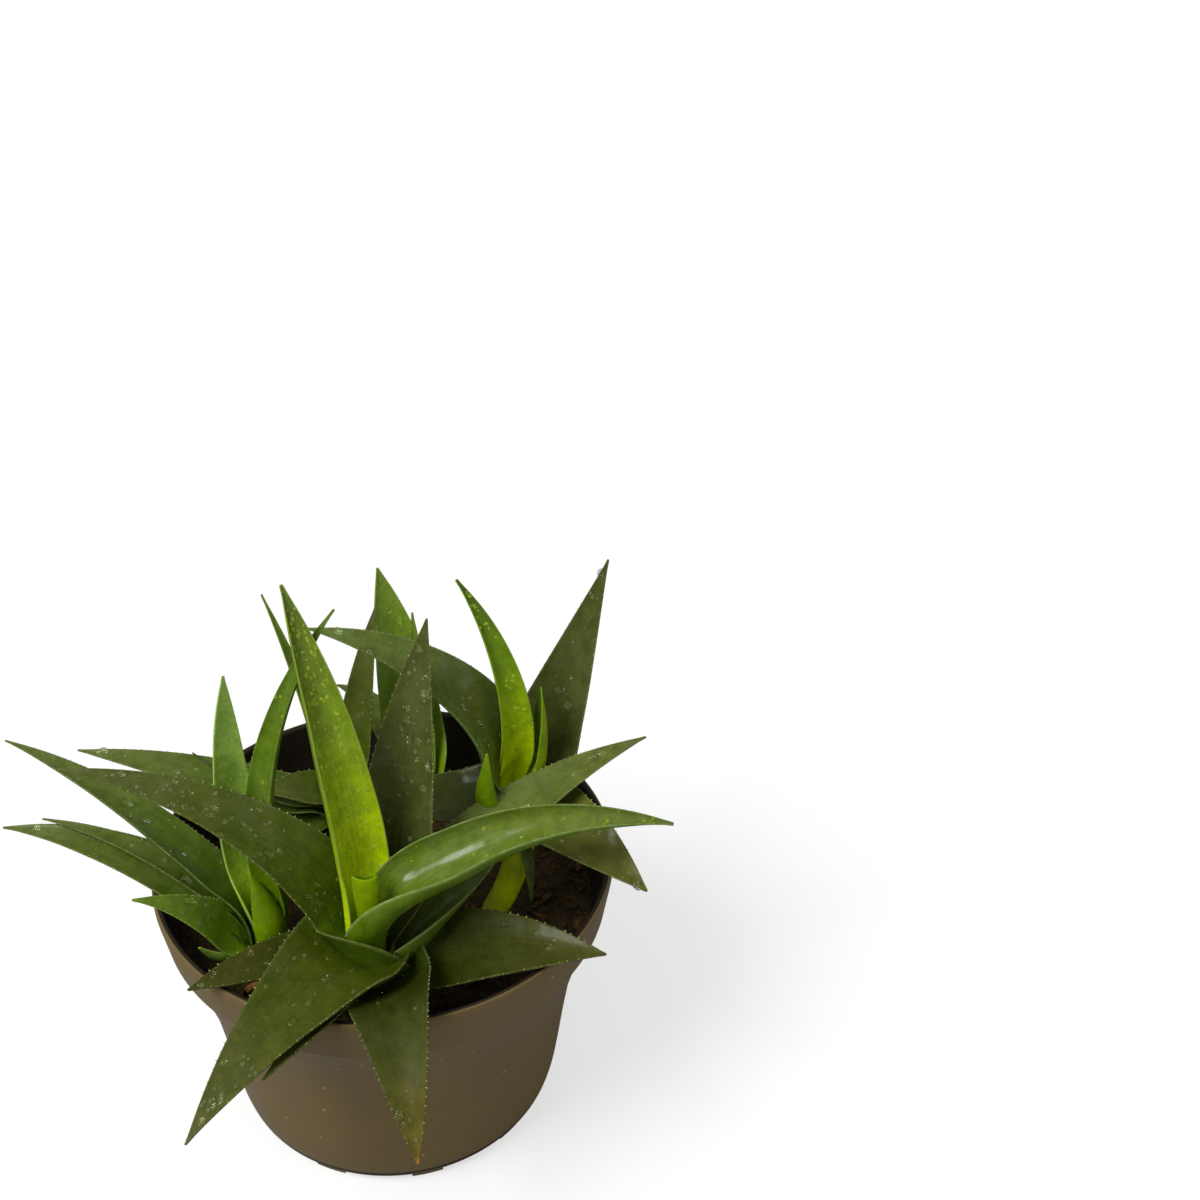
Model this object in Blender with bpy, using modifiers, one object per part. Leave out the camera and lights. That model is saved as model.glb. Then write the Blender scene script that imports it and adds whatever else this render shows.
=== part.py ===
"""Potted aloe vera: a round nursery pot with its soil, five short stems and the leaves that grow from them.

Metres, +Z up. The origin is on the pot's axis at the standing plane. -Y is the plant's front.
"""

import math
from dataclasses import dataclass

import bmesh
import bpy
from mathutils import Vector, noise

MM = 0.001
GAP = 0.4 * MM

# Pot: a moulded nursery pot with a plain collar
POT_HEIGHT = 100 * MM
RIM_RADIUS = 75 * MM
COLLAR_HEIGHT = 17 * MM
COLLAR_FOOT_RADIUS = 72.8 * MM
WALL = 1.6 * MM
RIM_WALL = 2.0 * MM
FLOOR_UNDERSIDE = 3 * MM
FLOOR_TOP = 5 * MM
FOOT_HEIGHT = 2 * MM
FOOT_COUNT = 10
FOOT_WIDTH = 9 * MM
FOOT_OUTER_RADIUS = 51 * MM
FOOT_INNER_RADIUS = 45.5 * MM
FIRST_FOOT_ANGLE = math.radians(-83)
CENTRE_PAD_RADIUS = 9 * MM
DRAIN_COUNT = 8
DRAIN_RADIUS = 4 * MM
DRAIN_RING_RADIUS = 34 * MM
POT_SEGMENTS = 60

# The body's outer wall in mm, height and radius, from the corner at its foot up to the collar
BODY_WALL = ((4, 54.9), (10, 56.4), (20, 57.7), (36, 59.6), (52, 61.9), (66, 65.5), (76, 69.3), (82.4, 71.9))

# Soil
SOIL_LEVEL = 78 * MM
SOIL_RING_COUNT = 9
SOIL_SEGMENTS = 36
SOIL_LUMP_HEIGHT = 1.6 * MM
SOIL_LUMP_SPACING = 14 * MM

# Stems
STEM_RADIUS = 4 * MM
STEM_ROOT_DEPTH = 10 * MM
PIT_CLEARANCE = 0.7 * MM
LEAF_SEAT = STEM_RADIUS + 0.5 * MM

# Leaves
LEAF_SIDES = 8
LEAF_STATIONS = 10
TIP_WIDTH = 0.6 * MM
SHOULDER = 0.22
KEEL_ROUNDNESS = 2.2

BLACK_BROWN = (0.105, 0.083, 0.055)
DARK_SOIL = (0.022, 0.013, 0.004)
YOUNG_GREEN = (0.145, 0.24, 0.008)
MID_GREEN = (0.085, 0.135, 0.02)
OLD_GREEN = (0.052, 0.075, 0.012)
STEM_GREEN = (0.12, 0.16, 0.012)


@dataclass(frozen=True)
class Crown:
    """One rosette's stem: the points of its axis in mm, from the soil up to its top."""

    name: str
    axis: tuple
    seat: tuple


MAIN = Crown("main", ((-3, -38, 78), (-3, -38, 90), (-3, -38, 101)), (-3, -38, 98))
HEART = Crown("heart", (), (-8, -42, 102))
LEFT = Crown("left", ((-39, -21, 78), (-39, -21, 98)), (-39, -21, 91))
BACK_LEFT = Crown("back_left", ((-13, 33, 78), (-12.6, 33.5, 100)), (-13, 33, 92))
BACK = Crown("back", ((15, 37, 78), (15, 37, 100)), (15, 37, 92))
RIGHT = Crown(
    "right", ((31.5, -16, 78), (31.5, -16, 80), (36, -11, 88), (43, -1, 104), (44, 3, 114)), (44, 3, 117)
)
STEMS = (MAIN, LEFT, BACK_LEFT, BACK, RIGHT)


@dataclass(frozen=True)
class Leaf:
    """One leaf. Angles are in degrees and lengths in mm.

    azimuth and lift are the directions at its base, tip_lift its lift at the tip, and sweep how far it
    turns sideways. bend below 1 puts most of the curve near the base. seat_height is measured from the
    crown's seat, neck is the base's width as a part of the full width, and a high taper keeps the leaf
    broad for longer before it narrows.
    """

    name: str
    crown: Crown
    azimuth: float
    lift: float
    tip_lift: float
    sweep: float
    length: float
    width: float
    roll: float
    seat_height: float
    taper: float
    bend: float
    neck: float
    channel: float = 0.12
    thickness: float = 0.22
    colour: tuple = MID_GREEN


# name, crown, azimuth, lift, tip_lift, sweep, length, width, roll, seat_height, taper, bend, neck
LEAVES = (
    Leaf("main_bud", MAIN, 229, 96, 84, 6, 22, 9, 4, 8, 3.55, 1.05, 0.6, colour=YOUNG_GREEN),
    Leaf("main_tall", MAIN, 120, 89, 49, -3, 109, 16.5, -7, 8.5, 2.9, 0.85, 0.3, 0.28, 0.25, YOUNG_GREEN),
    Leaf(
        "main_right_young", HEART, 11, 96, -24, -4, 108, 20.5, 20, 2, 1.75, 0.45, 0.6, 0.38, 0.28, YOUNG_GREEN
    ),
    Leaf("main_back", MAIN, 71, 67, 59, -11, 98, 26.5, 0, 1, 2.25, 0.8, 0.3, colour=OLD_GREEN),
    Leaf("main_right_back", MAIN, 32, 55, 2, -12, 105, 26.5, 6, -0.5, 1.75, 0.55, 0.6),
    Leaf("main_left", MAIN, 164, 75, 7, 9, 113, 28, -28, 0.5, 1.25, 0.75, 0.35, colour=OLD_GREEN),
    Leaf("main_front_left", MAIN, 243, 43, -27, -16, 96, 30.5, -17, 8.5, 1.85, 0.75, 0.7, colour=OLD_GREEN),
    Leaf("main_front", MAIN, 270, 39, -70, 10, 83, 28.5, 4, 1, 1.85, 1.15, 0.55, colour=OLD_GREEN),
    Leaf("main_right_low", MAIN, 343, 22, -1, -5, 68, 31, 14, -5.5, 1.9, 1.2, 0.6, colour=OLD_GREEN),
    Leaf("main_left_low", MAIN, 182, 27, -39, -10, 56, 20, -21, -6, 1.75, 0.9, 0.6, colour=OLD_GREEN),
    Leaf("main_under", MAIN, 238, 34, -28, -9, 61, 19.5, -13, -5, 1.6, 1.15, 0.55, colour=OLD_GREEN),
    Leaf("left_upright", LEFT, 119, 70, 110, -13, 92, 13.5, -2, 7, 2.25, 1, 0.3, 0.15, 0.35, YOUNG_GREEN),
    Leaf("left_curved", LEFT, 45, 105, 33, -7, 113, 10.5, 10, 3.5, 2.2, 1.15, 0.45, 0.2, 0.4, YOUNG_GREEN),
    Leaf("left_long", LEFT, 144, 46, -4, -1, 105, 15.5, 9, 5.5, 2.05, 0.75, 0.45),
    Leaf("left_outer_upper", LEFT, 152, 41, -5, 3, 78, 11, 2, 1.5, 1.8, 0.9, 0.35, colour=OLD_GREEN),
    Leaf("left_outer", LEFT, 152, 37, -8, 10, 90, 19, -14, -2, 1.9, 1.05, 0.3, colour=OLD_GREEN),
    Leaf("left_low", LEFT, 159, 35, -19, -24, 35, 16.5, -1, -6, 1.15, 1.05, 0.3, colour=YOUNG_GREEN),
    Leaf("left_bud", LEFT, 108, 50, 40, 1, 13, 5, 0, 0, 2, 1, 0.6, colour=YOUNG_GREEN),
    Leaf("left_short", LEFT, 199, 25, 9, -4, 17, 6.5, -1, -4, 1.5, 1, 0.6, colour=YOUNG_GREEN),
    Leaf(
        "back_left_upright", BACK_LEFT, 139, 82, 64, 3, 76, 6, -9, 6, 2.15, 0.9, 0.3, 0.15, 0.35, YOUNG_GREEN
    ),
    Leaf("back_left_dark", BACK_LEFT, 59, 77, 62, -6, 67, 13, 8, 4, 2.2, 1, 0.5, colour=OLD_GREEN),
    Leaf("back_left_bud", BACK_LEFT, 76, 67, 32, -15, 44, 12, 5, 0.5, 2.15, 1.05, 0.6),
    Leaf("back_left_side", BACK_LEFT, 188, 21, 54, -2, 55, 8, 3, 0.5, 2.1, 1, 0.4),
    Leaf("back_left_short", BACK_LEFT, 192, 37, -10, -5, 24, 18, -7, 7.5, 1.95, 1, 0.55, colour=OLD_GREEN),
    Leaf("back_left_lower", BACK_LEFT, 195, 5, -20, 5, 30, 15, -9, -3.5, 1.7, 1, 0.6, colour=OLD_GREEN),
    Leaf("back_left_long", BACK_LEFT, 174, 22, -1, -13, 89, 16, -19, 0, 2.25, 1.3, 0.5, colour=OLD_GREEN),
    Leaf("back_tall", BACK, 101, 73, 50, 9, 76, 21.5, -1, 2.5, 2.35, 1, 0.55, 0.15, 0.3, YOUNG_GREEN),
    Leaf("back_bud", BACK, 90, 78, 71, 2, 60, 10, 0, 4, 2.1, 1, 0.55, colour=YOUNG_GREEN),
    Leaf("back_outer", BACK, 107, 41, -20, 23, 61, 16.5, -7, -2, 1.9, 1, 0.6, colour=OLD_GREEN),
    Leaf("right_tall", RIGHT, 124, 118, 34, 7, 83, 11, -21, -1, 2.35, 0.9, 0.3, 0.25, 0.3, YOUNG_GREEN),
    Leaf("right_sheath", RIGHT, 44, 86, 63, 0, 32, 8, -12, 3.5, 2.25, 1, 0.55, colour=YOUNG_GREEN),
    Leaf("right_arching", RIGHT, 170, 107, -3, -6, 96, 26, -19, 1, 1.6, 0.75, 0.65),
    Leaf("right_back", RIGHT, 45, 57, 59, 0, 80, 25, 10, -2, 1.75, 0.9, 0.65, colour=OLD_GREEN),
    Leaf("right_bud", RIGHT, 210, 79, 66, -2, 23, 4, -1, -0.5, 1.7, 1.1, 0.6, colour=YOUNG_GREEN),
    Leaf("right_inner", RIGHT, 149, 23, 14, -4, 25, 10.5, 2, -2.5, 1.5, 1.1, 0.6, colour=OLD_GREEN),
    Leaf("right_drooping", RIGHT, 300, 35, -28, 16, 56, 25.5, 16, -0.5, 2, 0.6, 0.65, colour=OLD_GREEN),
    Leaf("right_small", RIGHT, 258, 13, -72, -13, 31, 3, 3, -3, 2.2, 0.3, 0.3, colour=OLD_GREEN),
)


def clear_scene():
    """Remove everything that a new file starts with."""
    for item in list(bpy.data.objects):
        bpy.data.objects.remove(item, do_unlink=True)


def new_collection(name):
    """Make a collection in the scene."""
    collection = bpy.data.collections.new(name)
    bpy.context.scene.collection.children.link(collection)
    return collection


def new_material(name, colour, roughness):
    """Make a plain Principled material."""
    material = bpy.data.materials.new(name)
    material.use_nodes = True
    shader = material.node_tree.nodes["Principled BSDF"]
    shader.inputs["Base Color"].default_value = (*colour, 1.0)
    shader.inputs["Roughness"].default_value = roughness
    material.diffuse_color = (*colour, 1.0)
    return material


def add_object(name, data, collection, material=None):
    """Put a mesh or curve in the scene as one named object."""
    item = bpy.data.objects.new(name, data)
    collection.objects.link(item)
    if material:
        data.materials.append(material)
    return item


def mesh_from(name, bm):
    """Turn a bmesh into a smooth-shaded mesh."""
    mesh = bpy.data.meshes.new(name)
    bm.to_mesh(mesh)
    bm.free()
    mesh.shade_smooth()
    mesh.set_sharp_from_angle(angle=math.radians(40))
    return mesh


def cut(target, cutter):
    """Take one closed shape out of another."""
    cutter.hide_render = True
    cutter.display_type = "WIRE"
    modifier = target.modifiers.new("cut_" + cutter.name, "BOOLEAN")
    modifier.operation = "DIFFERENCE"
    modifier.solver = "EXACT"
    modifier.object = cutter


# Pot and soil

def outer_radius(height):
    """The pot's outer radius at a height between two points of the body's wall."""
    for (low, low_radius), (high, high_radius) in zip(BODY_WALL, BODY_WALL[1:]):
        if height <= high * MM:
            share = (height / MM - low) / (high - low)
            return (low_radius + share * (high_radius - low_radius)) * MM
    return BODY_WALL[-1][1] * MM


def inner_wall(low, high, clearance=0):
    """Points up the inside of the pot between two heights, or up the side of what stands clear of it."""
    heights = [low] + [height * MM for height, _ in BODY_WALL if low < height * MM < high] + [high]
    return [(outer_radius(height) - WALL - clearance, height) for height in heights]


def pot_profile():
    """Half the pot's section: from the floor's middle up the inside, over the rim and down the outside."""
    collar_foot = POT_HEIGHT - COLLAR_HEIGHT
    inside = inner_wall(FLOOR_TOP + 2 * MM, collar_foot - 2 * MM)
    outside = [(radius * MM, height * MM) for height, radius in reversed(BODY_WALL)]
    foot_radius = outside[-1][0]
    return [
        (0, FLOOR_TOP),
        (inside[0][0] - 1.5 * MM, FLOOR_TOP),
        *inside,
        (COLLAR_FOOT_RADIUS - RIM_WALL, collar_foot + 2 * MM),
        (RIM_RADIUS - RIM_WALL - 0.4 * MM, POT_HEIGHT - 0.6 * MM),
        (RIM_RADIUS - RIM_WALL + 0.2 * MM, POT_HEIGHT),
        (RIM_RADIUS - 0.8 * MM, POT_HEIGHT),
        (RIM_RADIUS, POT_HEIGHT - 0.9 * MM),
        (RIM_RADIUS - 0.1 * MM, POT_HEIGHT - 3 * MM),
        (COLLAR_FOOT_RADIUS, collar_foot + 0.5 * MM),
        (COLLAR_FOOT_RADIUS - 0.4 * MM, collar_foot),
        *outside,
        (foot_radius - 1.1 * MM, 1.4 * MM),
        (FOOT_OUTER_RADIUS, 0),
        (FOOT_INNER_RADIUS, 0),
        (FOOT_INNER_RADIUS - 0.6 * MM, FLOOR_UNDERSIDE),
        (CENTRE_PAD_RADIUS + 1 * MM, FLOOR_UNDERSIDE),
        (CENTRE_PAD_RADIUS, 0),
        (0, 0),
    ]


def turned(name, profile, steps, collection, material):
    """Turn a profile that ends on the axis once round Z."""
    bm = bmesh.new()
    points = [bm.verts.new((radius, 0, height)) for radius, height in profile]
    for first, second in zip(points, points[1:]):
        bm.edges.new((first, second))
    mesh = bpy.data.meshes.new(name)
    bm.to_mesh(mesh)
    bm.free()
    item = add_object(name, mesh, collection, material)
    screw = item.modifiers.new("turn", "SCREW")
    screw.steps = steps
    screw.render_steps = steps
    screw.use_merge_vertices = True
    screw.merge_threshold = 0.00001
    screw.use_smooth_shade = True
    return item


def foot_gap_cutter(collection):
    """Boxes between the feet, which leave the ring standing on short pads."""
    bm = bmesh.new()
    pitch = 2 * math.pi / FOOT_COUNT
    middle_radius = (FOOT_OUTER_RADIUS + FOOT_INNER_RADIUS) / 2
    gap_width = pitch * middle_radius - FOOT_WIDTH
    for index in range(FOOT_COUNT):
        angle = FIRST_FOOT_ANGLE + (index + 0.5) * pitch
        box = bmesh.ops.create_cube(bm, size=1.0)["verts"]
        bmesh.ops.scale(bm, vec=(14 * MM, gap_width, 2 * FOOT_HEIGHT), verts=box)
        bmesh.ops.translate(bm, vec=(middle_radius + 1 * MM, 0, 0), verts=box)
        rotate_about_z(bm, box, angle)
    return add_object("foot_gaps", mesh_from("foot_gaps", bm), collection)


def drain_cutter(collection):
    """Round holes through the floor."""
    bm = bmesh.new()
    for index in range(DRAIN_COUNT):
        angle = 2 * math.pi * (index + 0.5) / DRAIN_COUNT
        hole = bmesh.ops.create_cone(
            bm, cap_ends=True, segments=12, radius1=DRAIN_RADIUS, radius2=DRAIN_RADIUS, depth=12 * MM
        )["verts"]
        bmesh.ops.translate(bm, vec=(DRAIN_RING_RADIUS, 0, FLOOR_UNDERSIDE), verts=hole)
        rotate_about_z(bm, hole, angle)
    return add_object("drain_holes", mesh_from("drain_holes", bm), collection)


def rotate_about_z(bm, verts, angle):
    """Turn some points about the pot's axis."""
    cosine, sine = math.cos(angle), math.sin(angle)
    for vert in verts:
        x, y, z = vert.co
        vert.co = (cosine * x - sine * y, sine * x + cosine * y, z)


def make_pot(collection, cutters, material):
    """The pot: a turned shell that stands on short feet and drains through its floor."""
    pot = turned("pot", pot_profile(), POT_SEGMENTS, collection, material)
    cut(pot, foot_gap_cutter(cutters))
    cut(pot, drain_cutter(cutters))
    return pot


def make_soil(collection, cutters, material):
    """The soil: it fills the pot to below the collar, with a lumpy top and a pit for each stem."""
    bottom = FLOOR_TOP + GAP
    side = inner_wall(FLOOR_TOP + 2.4 * MM, SOIL_LEVEL, GAP)
    side.reverse()
    rim = side[0][0]
    profile = [(ring / SOIL_RING_COUNT * rim, SOIL_LEVEL) for ring in range(SOIL_RING_COUNT)]
    profile += [*side, (side[-1][0] - 1.5 * MM, bottom), (0, bottom)]
    soil = turned("soil", profile, SOIL_SEGMENTS, collection, material)
    mesh = bpy.data.meshes.new_from_object(soil.evaluated_get(bpy.context.evaluated_depsgraph_get()))
    soil.modifiers.clear()
    soil.data = mesh
    for vert in mesh.vertices:
        radius = math.hypot(vert.co.x, vert.co.y)
        if vert.co.z > SOIL_LEVEL - 0.1 * MM and radius < rim - 1 * MM:
            vert.co.z += SOIL_LUMP_HEIGHT * noise.noise(vert.co / SOIL_LUMP_SPACING)
    for crown in STEMS:
        cut(soil, pit_cutter(crown, cutters))
    return soil


def pit_cutter(crown, collection):
    """The hole in the soil that a stem's root stands in."""
    x, y, z = crown.axis[0]
    bm = bmesh.new()
    radius = STEM_RADIUS + PIT_CLEARANCE
    depth = STEM_ROOT_DEPTH + GAP
    bmesh.ops.create_cone(bm, cap_ends=True, segments=16, radius1=radius, radius2=radius, depth=2 * depth)
    bmesh.ops.translate(bm, vec=Vector((x, y, z)) * MM, verts=bm.verts)
    return add_object("pit_" + crown.name, mesh_from("pit_" + crown.name, bm), collection)


# Stems and leaves

def make_stem(crown, collection, material):
    """A stem: a round tube along the crown's axis, with its root in the soil."""
    curve = bpy.data.curves.new("stem_" + crown.name, "CURVE")
    curve.dimensions = "3D"
    curve.bevel_depth = STEM_RADIUS
    curve.bevel_resolution = 2
    curve.use_fill_caps = True
    points = [Vector(point) * MM for point in crown.axis]
    points.insert(0, points[0] - Vector((0, 0, STEM_ROOT_DEPTH)))
    spline = curve.splines.new("POLY")
    spline.points.add(len(points) - 1)
    for target, point in zip(spline.points, points):
        target.co = (*point, 1.0)
    return add_object("stem_" + crown.name, curve, collection, material)


def leaf_direction(leaf, along):
    """The leaf's direction at a part of its length: lift and azimuth in radians."""
    lift = leaf.lift + (leaf.tip_lift - leaf.lift) * along**leaf.bend
    azimuth = leaf.azimuth + leaf.sweep * along
    return math.radians(lift), math.radians(azimuth)


def pointing(lift, azimuth):
    """The direction at a lift above level and an azimuth round the pot."""
    return Vector((math.cos(lift) * math.cos(azimuth), math.cos(lift) * math.sin(azimuth), math.sin(lift)))


def leaf_spine(leaf, steps=60):
    """Points along the leaf's spine, from its seat on the stem to its tip."""
    azimuth = math.radians(leaf.azimuth)
    outward = Vector((math.cos(azimuth), math.sin(azimuth), 0)) * LEAF_SEAT
    point = Vector(leaf.crown.seat) * MM + outward + Vector((0, 0, leaf.seat_height * MM))
    spine = [point]
    for step in range(steps):
        lift, azimuth = leaf_direction(leaf, (step + 0.5) / steps)
        point = point + pointing(lift, azimuth) * (leaf.length * MM / steps)
        spine.append(point)
    return spine


def leaf_axes(leaf, along):
    """The leaf's sideways direction and the way its upper face looks."""
    lift, azimuth = leaf_direction(leaf, along)
    forward = pointing(lift, azimuth)
    level = Vector((-math.sin(azimuth), math.cos(azimuth), 0))
    upward = forward.cross(level)
    roll = math.radians(leaf.roll)
    sideways = level * math.cos(roll) + upward * math.sin(roll)
    return sideways, forward.cross(sideways)


def leaf_width(leaf, along):
    """The leaf's width: a narrower neck, full width at the shoulder, then a taper to the tip."""
    rise = leaf.neck + (1 - leaf.neck) * math.sin(math.pi / 2 * min(along / SHOULDER, 1))
    return max(leaf.width * MM * rise * (1 - along**leaf.taper), TIP_WIDTH)


def make_leaf(leaf, collection, material):
    """A leaf: a tube of crescent sections, hollow above and keeled below, lofted along its spine."""
    bm = bmesh.new()
    bmesh.ops.create_cone(bm, cap_ends=True, segments=LEAF_SIDES, radius1=1, radius2=1, depth=1)
    long_edges = [edge for edge in bm.edges if abs(edge.verts[0].co.z - edge.verts[1].co.z) > 0.5]
    bmesh.ops.subdivide_edges(bm, edges=long_edges, cuts=LEAF_STATIONS - 1, use_grid_fill=True)
    spine = leaf_spine(leaf)
    for vert in bm.verts:
        along = vert.co.z + 0.5
        across, rise = vert.co.x, vert.co.y
        width = leaf_width(leaf, along)
        if rise > 0:
            height = -leaf.channel * width * (1 - across * across)
        else:
            height = -(leaf.channel + leaf.thickness) * width * (1 - abs(across) ** KEEL_ROUNDNESS)
        sideways, upward = leaf_axes(leaf, along)
        place = min(int(along * (len(spine) - 1)), len(spine) - 2)
        centre = spine[place].lerp(spine[place + 1], along * (len(spine) - 1) - place)
        vert.co = centre + sideways * (across * width / 2) + upward * height
    return add_object("leaf_" + leaf.name, mesh_from("leaf_" + leaf.name, bm), collection, material)


def main():
    """Build the pot, the soil, the stems and the leaves."""
    clear_scene()
    plant = new_collection("potted_aloe_vera")
    cutters = new_collection("cutters")
    make_pot(plant, cutters, new_material("pot_plastic", BLACK_BROWN, 0.45))
    make_soil(plant, cutters, new_material("soil", DARK_SOIL, 0.95))
    stem_material = new_material("stem", STEM_GREEN, 0.5)
    for crown in STEMS:
        make_stem(crown, plant, stem_material)
    leaf_materials = {
        colour: new_material(name, colour, 0.4)
        for name, colour in (("young_leaf", YOUNG_GREEN), ("mid_leaf", MID_GREEN), ("old_leaf", OLD_GREEN))
    }
    for leaf in LEAVES:
        make_leaf(leaf, plant, leaf_materials[leaf.colour])


main()
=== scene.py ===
"""A potted aloe vera, finished: its leaves, stems, soil and nursery pot, round the fixed CAD frame.

Metres, +Z up. The origin is on the pot's axis at the standing plane, and -Y is the plant's front.
"""

import logging
import math
from collections.abc import Callable, Iterable, Sequence
from dataclasses import dataclass, field
from enum import Enum
from typing import ClassVar

import bpy
import numpy as np
from mathutils import Matrix, Vector, noise


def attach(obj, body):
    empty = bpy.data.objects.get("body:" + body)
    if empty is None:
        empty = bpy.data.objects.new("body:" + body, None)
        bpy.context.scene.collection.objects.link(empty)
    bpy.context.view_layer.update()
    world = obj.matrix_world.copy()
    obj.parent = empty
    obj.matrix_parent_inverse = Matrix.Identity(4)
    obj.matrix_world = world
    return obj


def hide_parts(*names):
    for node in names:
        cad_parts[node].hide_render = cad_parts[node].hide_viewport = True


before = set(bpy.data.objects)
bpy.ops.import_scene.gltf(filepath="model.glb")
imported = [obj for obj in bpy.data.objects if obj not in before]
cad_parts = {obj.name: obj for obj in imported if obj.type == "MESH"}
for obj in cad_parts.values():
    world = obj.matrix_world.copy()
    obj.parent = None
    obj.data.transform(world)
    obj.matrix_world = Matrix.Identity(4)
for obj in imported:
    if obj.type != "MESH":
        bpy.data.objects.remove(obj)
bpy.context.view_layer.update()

LOG = logging.getLogger("potted_aloe")
MM = 0.001
BODY = "root"
SEED = 20

Colour = tuple[int, int, int]
Measures = tuple[float, float, float]


def srgb(red: int, green: int, blue: int) -> tuple[float, float, float]:
    """Turn a colour written as 0 to 255 screen values into the linear values that shaders take.

    Args:
        red: The red part.
        green: The green part.
        blue: The blue part.

    Returns:
        The linear red, green and blue.
    """
    linear = []
    for part in (red, green, blue):
        share = part / 255
        linear.append(share / 12.92 if share <= 0.04045 else ((share + 0.055) / 1.055) ** 2.4)
    return tuple(linear)


# Modelling helpers


def deselect_all() -> None:
    """Leave nothing selected, so that an operator acts only on what comes next."""
    for item in list(bpy.context.selected_objects):
        item.select_set(False)


def take_primitive(name: str) -> bpy.types.Object:
    """Name the primitive that an operator has just added.

    Args:
        name: The piece's name.

    Returns:
        The new object.
    """
    item = bpy.context.active_object
    item.name = name
    item.data.name = name
    return item


def activate(item: bpy.types.Object) -> None:
    """Make one object the only selected one and the active one.

    Args:
        item: The object.
    """
    deselect_all()
    item.select_set(True)
    bpy.context.view_layer.objects.active = item


def settle(item: bpy.types.Object) -> None:
    """Move an object's place, turn and size into its mesh."""
    item.data.transform(item.matrix_world)
    item.matrix_world = Matrix.Identity(4)


def edit_all() -> None:
    """Enter edit mode on the active object, with all of its mesh selected."""
    bpy.ops.object.mode_set(mode="EDIT")
    bpy.ops.mesh.select_all(action="SELECT")


def leave_edit(turn_outwards: bool = False) -> None:
    """Leave edit mode.

    Args:
        turn_outwards: Whether all faces are turned outwards first.
    """
    if turn_outwards:
        bpy.ops.mesh.select_all(action="SELECT")
        bpy.ops.mesh.normals_make_consistent(inside=False)
    bpy.ops.object.mode_set(mode="OBJECT")


def select_points(item: bpy.types.Object, chosen: Callable[[Vector], bool]) -> None:
    """Enter edit mode on the active object, with some of its points selected.

    Args:
        item: The object.
        chosen: A test of a point's place.
    """
    bpy.ops.object.mode_set(mode="EDIT")
    bpy.ops.mesh.select_all(action="DESELECT")
    bpy.ops.object.mode_set(mode="OBJECT")
    for vertex in item.data.vertices:
        vertex.select = chosen(vertex.co)
    bpy.ops.object.mode_set(mode="EDIT")


def extrude(height: float) -> None:
    """Extrude what is selected straight up by a height."""
    bpy.ops.mesh.extrude_region_move(TRANSFORM_OT_translate={"value": (0, 0, height)})


def remove_object(item: bpy.types.Object) -> None:
    """Delete an object and its mesh.

    Args:
        item: The object.
    """
    mesh = item.data
    bpy.data.objects.remove(item, do_unlink=True)
    bpy.data.meshes.remove(mesh)


def apply_modifiers(item: bpy.types.Object) -> None:
    """Apply every modifier of an object, in order."""
    activate(item)
    for modifier in list(item.modifiers):
        bpy.ops.object.modifier_apply(modifier=modifier.name)


def dress(item: bpy.types.Object, materials: Iterable[bpy.types.Material]) -> None:
    """Give an object its materials.

    Args:
        item: The object.
        materials: The materials, in the order of its faces' slots.
    """
    item.data.materials.clear()
    for material in materials:
        item.data.materials.append(material)


def vertex_array(mesh: bpy.types.Mesh) -> np.ndarray:
    """Read a mesh's points.

    Args:
        mesh: The mesh.

    Returns:
        One row for each point.
    """
    flat = np.empty(len(mesh.vertices) * 3)
    mesh.vertices.foreach_get("co", flat)
    return flat.reshape(-1, 3)


def set_vertices(mesh: bpy.types.Mesh, points: np.ndarray) -> None:
    """Write a mesh's points."""
    mesh.vertices.foreach_set("co", np.ascontiguousarray(points, dtype=float).ravel())
    mesh.update()


def smoothstep(values: np.ndarray | float, low: float, high: float) -> np.ndarray:
    """Rise smoothly from 0 at low to 1 at high."""
    share = np.clip((np.asarray(values, dtype=float) - low) / (high - low), 0, 1)
    return share * share * (3 - 2 * share)


def unit(vectors: np.ndarray) -> np.ndarray:
    """Scale each row to a length of one."""
    return vectors / np.maximum(np.linalg.norm(vectors, axis=-1, keepdims=True), 1e-12)


def read_rows(places: np.ndarray | float, stations: np.ndarray, rows: np.ndarray) -> np.ndarray:
    """Read rows of three numbers at places between their stations.

    Args:
        places: Where the rows are read.
        stations: The place of each row.
        rows: The rows.

    Returns:
        A row for each place.
    """
    return np.stack([np.interp(places, stations, rows[:, column]) for column in range(3)], axis=-1)


@dataclass(frozen=True)
class Shape:
    """A small shape that is copied many times: its points and its faces."""

    points: np.ndarray
    faces: list[tuple[int, ...]]


def shape_of(item: bpy.types.Object) -> Shape:
    """Keep a finished object's shape for copying, and remove the object.

    Args:
        item: The object, with its place in its mesh.

    Returns:
        The shape.
    """
    shape = Shape(vertex_array(item.data), [tuple(face.vertices) for face in item.data.polygons])
    remove_object(item)
    return shape


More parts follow.
